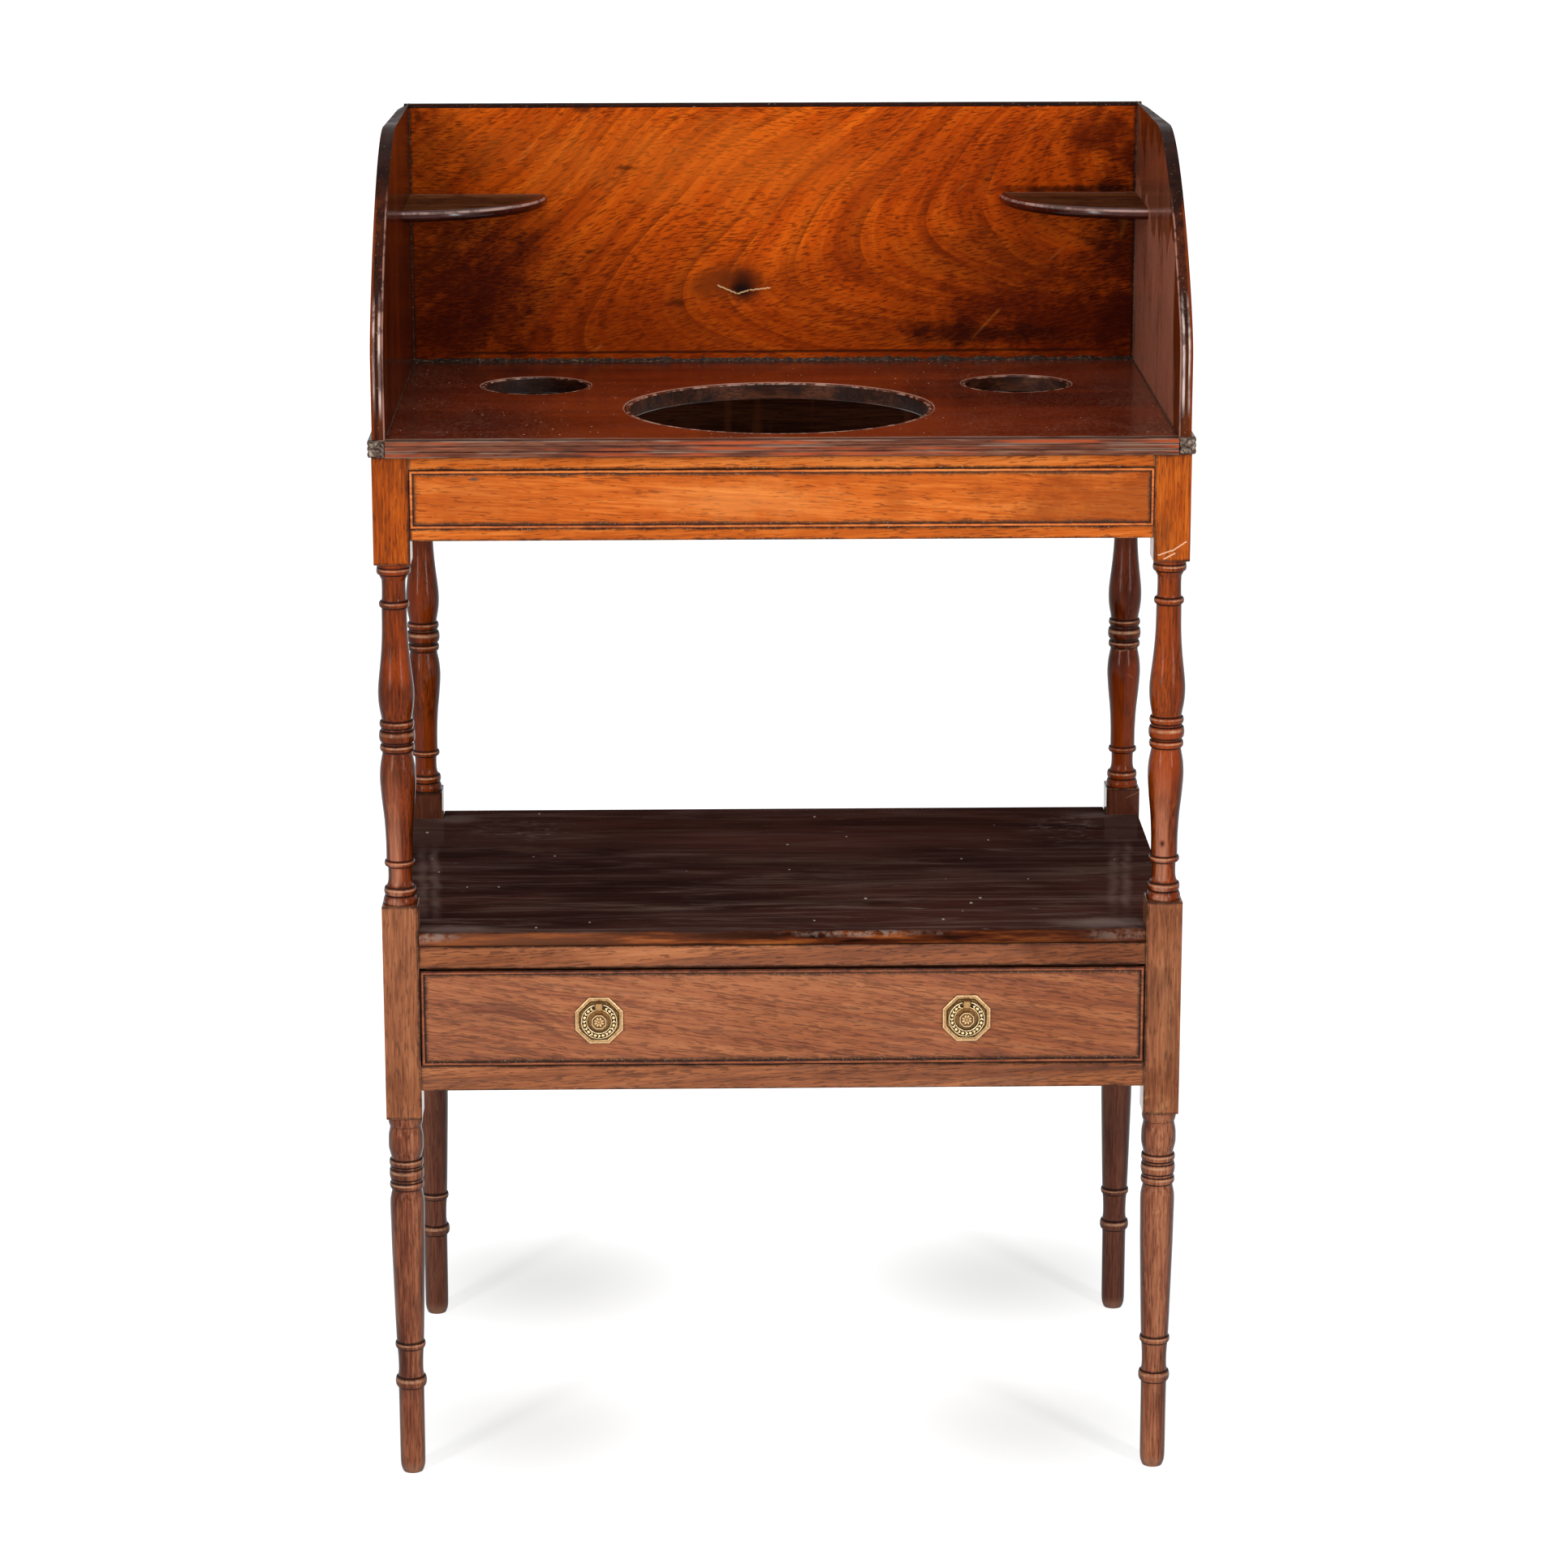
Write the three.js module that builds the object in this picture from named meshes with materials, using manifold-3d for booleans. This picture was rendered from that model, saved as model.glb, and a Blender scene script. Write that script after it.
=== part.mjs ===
import * as THREE from 'three';
import { mergeVertices } from 'three/addons/utils/BufferGeometryUtils.js';
import Module from 'manifold-3d';

// Mahogany washstand with a three-sided gallery, basin hole, undertier and one drawer.
// Lengths are millimetres. X runs across the front, Y from front to back and Z is up.
// The origin is on the floor under the middle of the stand.

// Legs
const legSpacingX = 590;
const legSpacingY = 355;
const legBlock = 28;
const legHeight = 821;
const lowerBlockDrop = 23.5;
const lowerBlockRise = 22.5;
const upperBlockDrop = 18.5;

// Joints in the wood
const fitGap = 0.3;
const tenonLength = 11;
const tenonThickness = 7;
const railTenonShoulder = 1.5;
const apronTenonShoulder = 10;

// Top board and its reeded edge
const topThickness = 13;
const topFrontOverhang = 8.5;
const topSideOverhang = 2.5;
const edgeStripWidth = 12;
const sideStripWidth = 13.5;
const reedCount = 3;
const reedRise = 1.4;

// Basin and beaker holes
const basinHoleRadius = 116.8;
const basinFromFront = 147.5;
const basinRimWidth = 4.9;
const beakerHoleRadius = 41;
const beakerOffsetX = 193;
const beakerFromFront = 257.5;
const beakerRimWidth = 4.2;
const rimQuirkDepth = 1.4;
const rimQuirkWidth = 1.6;

// Gallery
const galleryThickness = 10;
const galleryHeight = 212.5;
const galleryFrontInset = 6.5;
const galleryBackInset = 3;
const galleryHousing = 4;
const galleryFrontRise = 60;
const gallerySweepDepth = 194;
const gallerySweepRisePull = 32;
const gallerySweepTopPull = 83;
const cornerShelfRadius = 112;
const cornerShelfThickness = 9;
const cornerShelfHeight = 139;
const cornerShelfHousing = 3;
const screwLength = 30;
const screwHeadRadius = 4;
const screwHeadHeight = 2.5;
const screwShankRadius = 2;
const screwTipLength = 6;

// Frieze under the top
const friezeHeight = 65;
const friezeTopRailHeight = 10.5;
const friezeBottomRailHeight = 9.5;
const friezeRailThickness = 18;
const friezePanelThickness = 14;
const railSetback = 0.5;
const apronThickness = 14;
const apronSetback = 1;
const beadWidth = 3;
const beadRise = 2;
const beadDepth = 6;
const glueBlockLeg = 14;
const glueBlockLength = 220;

// Undertier and drawer case
const undertierHeight = 447.5;
const undertierThickness = 10;
const undertierNoseReach = 1;
const undertierNoseDepth = 7.5;
const undertierNoseDrop = 6;
const drawerTopRailHeight = 17.5;
const drawerOpeningHeight = 79.3;
const drawerBottomRailHeight = 19.7;
const drawerRailDepth = 42;
const runnerHeight = 12.5;
const runnerReach = 19;
const guideHeight = 20;
const stopWidth = 24;
const stopDepth = 10;
const stopHeight = 4.5;
const stopOffsetX = 165;

// Drawer
const drawerSideGap = 0.8;
const drawerTopGap = 2;
const drawerBottomGap = 0.8;
const drawerRearGap = 8;
const drawerFrontThickness = 16;
const drawerBoardThickness = 8;
const drawerSideDrop = 3;
const drawerBackDrop = 5;
const drawerBottomThickness = 6;
const drawerBottomRise = 7;
const drawerGrooveDepth = 4;
const dovetailLap = 2.5;
const dovetailCount = 3;

// Ring handles
const handleOffsetX = 142.5;
const handleDrop = 2.2;
const plateWidth = 37;
const plateThickness = 1.8;
const plateRecess = 1.1;
const plateRimWidth = 3;
const ringMidRadius = 11.6;
const ringBandWidth = 4.8;
const ringBandThickness = 2.4;
const ringNeckRadius = 1.25;
const ringStandoff = 2.7;
const clipWidth = 4.8;
const clipHeight = 6.2;
const clipStrap = 0.9;
const bossBaseWidth = 17;
const bossFaceWidth = 11;
const bossHeight = 5.5;
const boltRadius = 2.2;
const nutWidth = 9;
const nutThickness = 3;
const boltEnd = 1.5;

// Places worked out from the sizes above
const halfBlock = legBlock / 2;
const overallDepth = topFrontOverhang + legSpacingY + legBlock;
const topFrontY = -overallDepth / 2;
const legFrontY = topFrontY + topFrontOverhang;
const frontLegY = legFrontY + halfBlock;
const rearLegY = frontLegY + legSpacingY;
const legBackY = rearLegY + halfBlock;
const legInnerX = legSpacingX / 2 - halfBlock;
const legOuterX = legSpacingX / 2 + halfBlock;
const frontLegBackY = frontLegY + halfBlock;
const rearLegFrontY = rearLegY - halfBlock;
const topUnderside = legHeight;
const topSurface = legHeight + topThickness;
const topOuterX = legOuterX + topSideOverhang;
const stripInnerX = topOuterX - sideStripWidth;
const railFaceY = legFrontY + railSetback;
const apronOuterX = legOuterX - apronSetback;
const apronInnerX = apronOuterX - apronThickness;
const apronOuterY = legBackY - apronSetback;
const apronInnerY = apronOuterY - apronThickness;
const undertierTop = undertierHeight;
const undertierUnderside = undertierTop - undertierThickness;
const drawerOpeningTop = undertierUnderside - drawerTopRailHeight;
const drawerOpeningBottom = drawerOpeningTop - drawerOpeningHeight;
const caseBottom = drawerOpeningBottom - drawerBottomRailHeight;
const friezeBottom = legHeight - friezeHeight;
const friezePanelBottom = friezeBottom + friezeBottomRailHeight;
const friezePanelTop = legHeight - friezeTopRailHeight;
const lowerBlockBottom = caseBottom - lowerBlockDrop;
const lowerBlockTop = undertierTop + lowerBlockRise;
const upperBlockBottom = friezeBottom - upperBlockDrop;

// Turned outlines of the leg. Heights are shares of the turning's length and
// radii are shares of half the square block.
const legCoreShare = 0.8;
const lowerTurningShares = {
  sole: [[0, 0.565], [0.016, 0.69], [0.05, 0.706], [0.225, 0.721]],
  footRing: { centreShare: 0.257, halfShare: 0.0145, radiusShare: 0.89, rootShare: 0.75 },
  ankle: [[0.3, 0.7], [0.342, 0.735]],
  ankleRing: { centreShare: 0.3607, halfShare: 0.0085, radiusShare: 0.862, rootShare: 0.77 },
  taper: [[0.42, 0.808], [0.53, 0.869], [0.64, 0.928], [0.72, 0.958], [0.76, 0.952], [0.783, 0.891]],
  collarRing: { centreShare: 0.809, halfShare: 0.0105, radiusShare: 0.957, rootShare: 0.86 },
  middleRing: { centreShare: 0.841, halfShare: 0.0145, radiusShare: 0.963, rootShare: 0.9 },
  upperRing: { centreShare: 0.872, halfShare: 0.0105, radiusShare: 0.956, rootShare: 0.86 },
  bulb: [[0.9, 0.916], [0.921, 0.975], [0.947, 0.959], [0.97, 0.865], [0.978, 0.94], [1, 0.964]],
};
const upperTurningShares = {
  base: [[0, 0.943], [0.027, 0.885]],
  baseRing: { centreShare: 0.039, halfShare: 0.011, radiusShare: 0.9, rootShare: 0.8 },
  lowerNeck: [[0.073, 0.654], [0.106, 0.654]],
  neckRing: { centreShare: 0.1196, halfShare: 0.009, radiusShare: 0.85, rootShare: 0.72 },
  lowerVase: [
    [0.19, 0.737], [0.25, 0.8], [0.307, 0.91], [0.35, 0.976],
    [0.38, 0.995], [0.415, 0.93], [0.444, 0.816],
  ],
  collarRing: { centreShare: 0.461, halfShare: 0.0105, radiusShare: 0.95, rootShare: 0.83 },
  middleRing: { centreShare: 0.496, halfShare: 0.0175, radiusShare: 0.99, rootShare: 0.86 },
  upperRing: { centreShare: 0.531, halfShare: 0.0105, radiusShare: 0.95, rootShare: 0.83 },
  upperVase: [
    [0.573, 0.92], [0.616, 0.993], [0.652, 0.96], [0.702, 0.84],
    [0.756, 0.745], [0.81, 0.7], [0.862, 0.689],
  ],
  topRing: { centreShare: 0.88, halfShare: 0.0095, radiusShare: 0.83, rootShare: 0.69 },
  upperNeck: [[0.9, 0.661], [0.95, 0.661], [0.963, 0.78]],
  capRing: { centreShare: 0.979, halfShare: 0.011, radiusShare: 0.93, rootShare: 0.84 },
  cap: [[1, 0.914]],
};
const dovetailNeckShare = 0.5;
const dovetailTipShare = 0.72;
const galleryScrewShare = 0.55;
const ringSectionShares = [[1, 0], [0.6, 1], [-0.6, 1], [-1, 0], [-0.6, -1], [0.6, -1], [1, 0]];

// Facets
const legSegments = 12;
const basinSegments = 40;
const beakerSegments = 24;
const ringSegments = 24;
const octagonSides = 8;
const boltSegments = 12;
const screwSegments = 8;
const beadSteps = 3;
const reedSteps = 4;
const sweepSteps = 12;
const cornerSteps = 10;
const noseSteps = 5;

// How far a cutter runs past the faces that it cuts, and a tenon runs into its own rail
const overrun = 5;
const weldDistance = 1e-4;

const wasm = await Module();
wasm.setup();

// Closed triangle mesh with welded corners, faces outwards.
function weldedMesh(geometry) {
  const bare = geometry.clone();
  bare.deleteAttribute('normal');
  bare.deleteAttribute('uv');
  const welded = mergeVertices(bare, weldDistance);
  const corners = welded.getAttribute('position').array;
  const order = welded.getIndex().array;
  const kept = [];
  for (let i = 0; i < order.length; i += 3) {
    const [a, b, c] = [order[i], order[i + 1], order[i + 2]];
    if (a !== b && b !== c && c !== a) kept.push(a, b, c);
  }
  if (signedVolume(corners, kept) < 0) {
    for (let i = 0; i < kept.length; i += 3) [kept[i], kept[i + 1]] = [kept[i + 1], kept[i]];
  }
  return { corners: new Float32Array(corners), order: new Uint32Array(kept) };
}

function signedVolume(corners, order) {
  const [a, b, c] = [new THREE.Vector3(), new THREE.Vector3(), new THREE.Vector3()];
  let total = 0;
  for (let i = 0; i < order.length; i += 3) {
    a.fromArray(corners, order[i] * 3);
    b.fromArray(corners, order[i + 1] * 3);
    c.fromArray(corners, order[i + 2] * 3);
    total += a.dot(b.cross(c));
  }
  return total;
}

function solid(geometry) {
  const { corners, order } = weldedMesh(geometry);
  return new wasm.Manifold(new wasm.Mesh({ numProp: 3, vertProperties: corners, triVerts: order }));
}

function joined(solids) {
  return solids.reduce((whole, next) => whole.add(next));
}

function cut(base, cutters) {
  return cutters.reduce((rest, cutter) => rest.subtract(cutter), base);
}

function toGeometry(body) {
  const mesh = body.getMesh();
  const geometry = new THREE.BufferGeometry();
  geometry.setAttribute('position', new THREE.BufferAttribute(mesh.vertProperties, 3));
  geometry.setIndex(new THREE.BufferAttribute(mesh.triVerts, 1));
  geometry.computeVertexNormals();
  return geometry;
}

// Rectangular piece between two corners.
function slab(low, high) {
  const size = high.map((value, i) => value - low[i]);
  const middle = high.map((value, i) => (value + low[i]) / 2);
  return solid(new THREE.BoxGeometry(...size).translate(...middle));
}

// The same piece with a gap on every side, as a cutter for what holds it.
function grownSlab(low, high) {
  return slab(low.map((value) => value - fitGap), high.map((value) => value + fitGap));
}

function prism(points, length) {
  const shape = new THREE.Shape(points.map(([u, v]) => new THREE.Vector2(u, v)));
  return new THREE.ExtrudeGeometry(shape, { depth: length, bevelEnabled: false });
}

// Outline of (y, z) points run along X.
function alongX(points, from, to) {
  const turn = new THREE.Matrix4().set(0, 0, 1, from, 1, 0, 0, 0, 0, 1, 0, 0, 0, 0, 0, 1);
  return solid(prism(points, to - from).applyMatrix4(turn));
}

// Outline of (x, z) points run along Y.
function alongY(points, from, to) {
  const turn = new THREE.Matrix4().set(1, 0, 0, 0, 0, 0, -1, to, 0, 1, 0, 0, 0, 0, 0, 1);
  return solid(prism(points, to - from).applyMatrix4(turn));
}

// Outline of (x, y) points run along Z.
function alongZ(points, from, to) {
  return solid(prism(points, to - from).translate(0, 0, from));
}

// Outline of (radius, height) points turned about the vertical axis.
function turned(points, segments) {
  const outline = points.map(([radius, height]) => new THREE.Vector2(radius, height));
  return solid(new THREE.LatheGeometry(outline, segments).rotateX(Math.PI / 2));
}

function octagon(width) {
  const corner = width / 2 / Math.cos(Math.PI / octagonSides);
  return Array.from({ length: octagonSides }, (_, i) => {
    const angle = (i + 0.5) * 2 * Math.PI / octagonSides;
    return [corner * Math.cos(angle), corner * Math.sin(angle)];
  });
}

// Half-round ring on a turning, as [height, radius] shares.
function ringShares({ centreShare, halfShare, radiusShare, rootShare }) {
  const fullness = Math.sin(Math.PI / beadSteps);
  return Array.from({ length: beadSteps + 1 }, (_, i) => {
    const angle = Math.PI * i / beadSteps;
    const swellShare = (radiusShare - rootShare) * Math.sin(angle) / fullness;
    return [centreShare - halfShare * Math.cos(angle), rootShare + swellShare];
  });
}

function turningPoints(shares, bottom, top) {
  const outline = Object.values(shares)
    .flatMap((piece) => (Array.isArray(piece) ? piece : ringShares(piece)));
  return outline.map(([height, radius]) => [radius * halfBlock, bottom + height * (top - bottom)]);
}

// Mortise and tenon joints. A tenon is given by its corners, from its root in the rail to its tip.
function railTenon(side, zLow, zHigh, middleY, shoulder) {
  const rootX = side * (legInnerX - overrun);
  const tipX = side * (legInnerX + tenonLength);
  return [
    [Math.min(rootX, tipX), middleY - tenonThickness / 2, zLow + shoulder],
    [Math.max(rootX, tipX), middleY + tenonThickness / 2, zHigh - shoulder],
  ];
}

function sideTenon(side, end, zLow, zHigh) {
  const middleX = side * (apronInnerX + apronOuterX) / 2;
  const [shoulderY, outward] = end === 'front' ? [frontLegBackY, -1] : [rearLegFrontY, 1];
  const rootY = shoulderY - outward * overrun;
  const tipY = shoulderY + outward * tenonLength;
  return [
    [middleX - tenonThickness / 2, Math.min(rootY, tipY), zLow + apronTenonShoulder],
    [middleX + tenonThickness / 2, Math.max(rootY, tipY), zHigh - apronTenonShoulder],
  ];
}

// Rails between the front legs, with their depth from front to back.
const friezeRails = { depth: friezeRailThickness, finish: 'friezeWood' };
const drawerRails = { depth: drawerRailDepth, finish: 'drawerWood' };
const frontRails = [
  { name: 'frieze_top_rail', low: friezePanelTop, high: legHeight, ...friezeRails },
  { name: 'frieze_bottom_rail', low: friezeBottom, high: friezePanelBottom, ...friezeRails },
  { name: 'drawer_top_rail', low: drawerOpeningTop, high: undertierUnderside, ...drawerRails },
  { name: 'drawer_bottom_rail', low: caseBottom, high: drawerOpeningBottom, ...drawerRails },
];

// Aprons at the sides and the back, at the frieze and round the drawer.
const apronLevels = [
  { name: 'frieze', low: friezeBottom, high: legHeight, finish: 'friezeWood' },
  { name: 'case', low: caseBottom, high: undertierUnderside, finish: 'drawerWood' },
];

const rearTenonY = (apronInnerY + apronOuterY) / 2;

function frontRail({ low, high, depth }) {
  const body = slab([-legInnerX, railFaceY, low], [legInnerX, railFaceY + depth, high]);
  const tenons = [-1, 1].map((side) => slab(...railTenon(side, low, high, frontLegY, railTenonShoulder)));
  return joined([body, ...tenons]);
}

function rearApron({ low, high }) {
  const body = slab([-legInnerX, apronInnerY, low], [legInnerX, apronOuterY, high]);
  const tenons = [-1, 1].map((side) => slab(...railTenon(side, low, high, rearTenonY, apronTenonShoulder)));
  return joined([body, ...tenons]);
}

function sideApron(side, { low, high }) {
  const [nearX, farX] = side < 0 ? [-apronOuterX, -apronInnerX] : [apronInnerX, apronOuterX];
  const body = slab([nearX, frontLegBackY, low], [farX, rearLegFrontY, high]);
  const tenons = ['front', 'rear'].map((end) => slab(...sideTenon(side, end, low, high)));
  return joined([body, ...tenons]);
}

function mortises(side, end) {
  const sideTenons = apronLevels.map(({ low, high }) => sideTenon(side, end, low, high));
  const crossTenons = end === 'front'
    ? frontRails.map(({ low, high }) => railTenon(side, low, high, frontLegY, railTenonShoulder))
    : apronLevels.map(({ low, high }) => railTenon(side, low, high, rearTenonY, apronTenonShoulder));
  return [...sideTenons, ...crossTenons].map((corners) => grownSlab(...corners));
}

// One leg: a single post, square where the rails meet it and turned between.
function leg(side, end) {
  const legX = side * legSpacingX / 2;
  const legY = end === 'front' ? frontLegY : rearLegY;
  const core = legCoreShare * halfBlock;
  const outline = [
    [0, 0],
    ...turningPoints(lowerTurningShares, 0, lowerBlockBottom),
    [core, lowerBlockBottom + halfBlock],
    [core, lowerBlockTop - halfBlock],
    ...turningPoints(upperTurningShares, lowerBlockTop, upperBlockBottom),
    [core, upperBlockBottom + halfBlock],
    [core, legHeight - halfBlock],
    [0, legHeight - halfBlock],
  ];
  const block = (low, high) => slab([-halfBlock, -halfBlock, low], [halfBlock, halfBlock, high]);
  const blocks = [block(lowerBlockBottom, lowerBlockTop), block(upperBlockBottom, legHeight)];
  const post = joined([turned(outline, legSegments), ...blocks]).translate([legX, legY, 0]);
  return cut(post, mortises(side, end));
}

// Top board with its three moulded holes
function holeCutter(radius, rimWidth, segments) {
  const outer = radius + rimWidth;
  const outline = [
    [0, topUnderside - overrun],
    [radius, topUnderside - overrun],
    [radius, topSurface - rimQuirkDepth],
    [radius + rimQuirkDepth / 2, topSurface - rimQuirkDepth / 4],
    [outer - rimQuirkWidth, topSurface - rimQuirkDepth / 4],
    [outer - rimQuirkWidth / 2, topSurface - rimQuirkDepth],
    [outer, topSurface],
    [outer, topSurface + overrun],
    [0, topSurface + overrun],
  ];
  return turned(outline, segments);
}

function topBoard() {
  const board = slab(
    [-stripInnerX, topFrontY + edgeStripWidth, topUnderside],
    [stripInnerX, legBackY, topSurface],
  );
  const basin = holeCutter(basinHoleRadius, basinRimWidth, basinSegments)
    .translate([0, topFrontY + basinFromFront, 0]);
  const beakers = [-1, 1].map((side) => holeCutter(beakerHoleRadius, beakerRimWidth, beakerSegments)
    .translate([side * beakerOffsetX, topFrontY + beakerFromFront, 0]));
  return cut(board, [basin, ...beakers]);
}

// Section of the reeded edge as (reach, height) points, reach measured outwards.
function reededOutline(width) {
  const pitch = topThickness / reedCount;
  const points = [[0, topSurface], [0, topUnderside]];
  for (let reed = 0; reed < reedCount; reed += 1) {
    for (let step = reed === 0 ? 0 : 1; step <= reedSteps; step += 1) {
      const angle = Math.PI * step / reedSteps;
      const height = topUnderside + pitch * (reed + 0.5 - Math.cos(angle) / 2);
      points.push([width - reedRise * (1 - Math.sin(angle)), height]);
    }
  }
  return points;
}

function frontEdgeStrip() {
  const back = topFrontY + edgeStripWidth;
  const outline = reededOutline(edgeStripWidth).map(([reach, height]) => [back - reach, height]);
  return alongX(outline, -stripInnerX, stripInnerX);
}

function sideEdgeStrip(side) {
  const outline = reededOutline(sideStripWidth)
    .map(([reach, height]) => [side * (stripInnerX + reach), height]);
  return cut(alongY(outline, topFrontY, legBackY), [galleryScrew(side, fitGap)]);
}

// Gallery
const galleryFrontY = topFrontY + galleryFrontInset;
const galleryBackY = legBackY - galleryBackInset;
const galleryFaceY = galleryBackY - galleryThickness;
const galleryTop = topSurface + galleryHeight;
const galleryFaceX = stripInnerX;
const galleryOuterX = stripInnerX + galleryThickness;
const cornerShelfTop = topSurface + cornerShelfHeight;

function gallerySideOutline() {
  const sweep = new THREE.CubicBezierCurve(
    new THREE.Vector2(galleryFrontY, topSurface + galleryFrontRise),
    new THREE.Vector2(galleryFrontY, topSurface + galleryFrontRise + gallerySweepRisePull),
    new THREE.Vector2(galleryFrontY + gallerySweepDepth - gallerySweepTopPull, galleryTop),
    new THREE.Vector2(galleryFrontY + gallerySweepDepth, galleryTop),
  );
  const curved = sweep.getPoints(sweepSteps).map((point) => [point.x, point.y]);
  return [[galleryBackY, topSurface], [galleryFrontY, topSurface], ...curved, [galleryBackY, galleryTop]];
}

function galleryBackCorners() {
  const halfWidth = galleryFaceX + galleryHousing;
  return [[-halfWidth, galleryFaceY, topSurface], [halfWidth, galleryBackY, galleryTop]];
}

// Screw that runs up through the edge strip into the side of the gallery. A grown one cuts its hole.
function galleryScrew(side, gap) {
  const headLow = topUnderside + fitGap;
  const headHigh = headLow + gap;
  const outline = [
    [0, headLow - gap],
    [screwHeadRadius + gap, headLow - gap],
    [screwHeadRadius + gap, headHigh],
    [screwShankRadius + gap, headHigh + screwHeadHeight],
    [screwShankRadius + gap, headHigh + screwLength - screwTipLength],
    [0, headHigh + screwLength],
  ];
  const middleX = (galleryFaceX + galleryOuterX) / 2;
  const middleY = galleryFrontY + galleryScrewShare * (galleryFaceY - galleryFrontY);
  return turned(outline, screwSegments).translate([side * middleX, middleY, 0]);
}

function cornerShelf(side, gap) {
  const cornerX = galleryFaceX + cornerShelfHousing + gap;
  const cornerY = galleryFaceY + cornerShelfHousing + gap;
  const radius = cornerShelfRadius + gap;
  const arc = Array.from({ length: cornerSteps + 1 }, (_, i) => {
    const angle = Math.PI / 2 * i / cornerSteps;
    return [side * (galleryFaceX - radius * Math.sin(angle)), galleryFaceY - radius * Math.cos(angle)];
  });
  const outline = [
    [side * cornerX, cornerY],
    [side * cornerX, galleryFaceY - radius],
    ...arc,
    [side * (galleryFaceX - radius), cornerY],
  ];
  return alongZ(outline, cornerShelfTop - cornerShelfThickness - gap, cornerShelfTop + gap);
}

function galleryBack() {
  const shelves = [-1, 1].map((side) => cornerShelf(side, fitGap));
  return cut(slab(...galleryBackCorners()), shelves);
}

function gallerySide(side) {
  const [nearX, farX] = side < 0 ? [-galleryOuterX, -galleryFaceX] : [galleryFaceX, galleryOuterX];
  const [backLow, backHigh] = galleryBackCorners();
  const housing = slab(
    [backLow[0] - fitGap, backLow[1] - fitGap, topSurface - overrun],
    [backHigh[0] + fitGap, galleryBackY + overrun, galleryTop + overrun],
  );
  const board = alongX(gallerySideOutline(), nearX, farX);
  return cut(board, [housing, cornerShelf(side, fitGap), galleryScrew(side, fitGap)]);
}

// Four cockbeads round a panel, mitred at the corners, standing proud of its face.
function beadFrame(halfWidth, low, high, faceY) {
  const [front, back] = [faceY - beadRise, faceY - beadRise + beadDepth];
  const level = (outer, inner) => alongY([
    [-halfWidth + fitGap, outer],
    [-halfWidth + beadWidth + fitGap, inner],
    [halfWidth - beadWidth - fitGap, inner],
    [halfWidth - fitGap, outer],
  ], front, back);
  const upright = (side) => alongY([
    [side * halfWidth, low],
    [side * halfWidth, high],
    [side * (halfWidth - beadWidth), high - beadWidth],
    [side * (halfWidth - beadWidth), low + beadWidth],
  ], front, back);
  return {
    top: level(high, high - beadWidth),
    bottom: level(low, low + beadWidth),
    left: upright(-1),
    right: upright(1),
  };
}

// Panel whose front edges are rebated for the beads.
function beadedPanel(halfWidth, low, high, faceY, thickness) {
  const panel = slab([-halfWidth, faceY, low], [halfWidth, faceY + thickness, high]);
  const rebateBack = faceY - beadRise + beadDepth + fitGap;
  const inset = beadWidth + fitGap;
  const frontOver = faceY - overrun;
  const rebate = (lowX, lowZ, highX, highZ) => slab([lowX, frontOver, lowZ], [highX, rebateBack, highZ]);
  return cut(panel, [
    rebate(-halfWidth - overrun, high - inset, halfWidth + overrun, high + overrun),
    rebate(-halfWidth - overrun, low - overrun, halfWidth + overrun, low + inset),
    rebate(-halfWidth - overrun, low - overrun, -halfWidth + inset, high + overrun),
    rebate(halfWidth - inset, low - overrun, halfWidth + overrun, high + overrun),
  ]);
}

// Undertier board, notched round the leg blocks, with a thumb-moulded front edge.
function undertier() {
  const frontY = legFrontY - undertierNoseReach;
  const board = slab([-apronOuterX, frontY, undertierUnderside], [apronOuterX, apronOuterY, undertierTop]);
  const notches = [-1, 1].flatMap((side) => {
    const [lowX, highX] = side < 0
      ? [-legOuterX - overrun, -legInnerX + fitGap]
      : [legInnerX - fitGap, legOuterX + overrun];
    return [
      slab([lowX, frontY - overrun, undertierUnderside - overrun],
        [highX, frontLegBackY + fitGap, undertierTop + overrun]),
      slab([lowX, rearLegFrontY - fitGap, undertierUnderside - overrun],
        [highX, legBackY + overrun, undertierTop + overrun]),
    ];
  });
  const nose = Array.from({ length: noseSteps + 1 }, (_, i) => {
    const angle = Math.PI / 2 * i / noseSteps;
    return [
      frontY + undertierNoseDepth * (1 - Math.sin(angle)),
      undertierTop - undertierNoseDrop * (1 - Math.cos(angle)),
    ];
  });
  const noseCutter = alongX([
    ...nose,
    [frontY - overrun, undertierTop - undertierNoseDrop],
    [frontY - overrun, undertierTop + overrun],
    [frontY + undertierNoseDepth, undertierTop + overrun],
  ], -legOuterX, legOuterX);
  return cut(board, [...notches, noseCutter]);
}

// Strips inside the case that carry and steer the drawer
function caseStrip(side, innerX, low, high) {
  const [nearX, farX] = side < 0 ? [-apronInnerX, -innerX] : [innerX, apronInnerX];
  return slab([nearX, railFaceY + drawerRailDepth, low], [farX, rearLegFrontY, high]);
}

function drawerStop(side) {
  const frontY = railFaceY + drawerFrontThickness + fitGap;
  const middleX = side * stopOffsetX;
  return slab(
    [middleX - stopWidth / 2, frontY, drawerOpeningBottom],
    [middleX + stopWidth / 2, frontY + stopDepth, drawerOpeningBottom + stopHeight],
  );
}

// Three-cornered block glued into the angle between a side apron and the top board
function topGlueBlock(side) {
  const face = side * apronInnerX;
  const outline = [
    [face, topUnderside],
    [face, topUnderside - glueBlockLeg],
    [face - side * glueBlockLeg, topUnderside],
  ];
  const middleY = (frontLegY + rearLegY) / 2;
  return alongY(outline, middleY - glueBlockLength / 2, middleY + glueBlockLength / 2);
}

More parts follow.
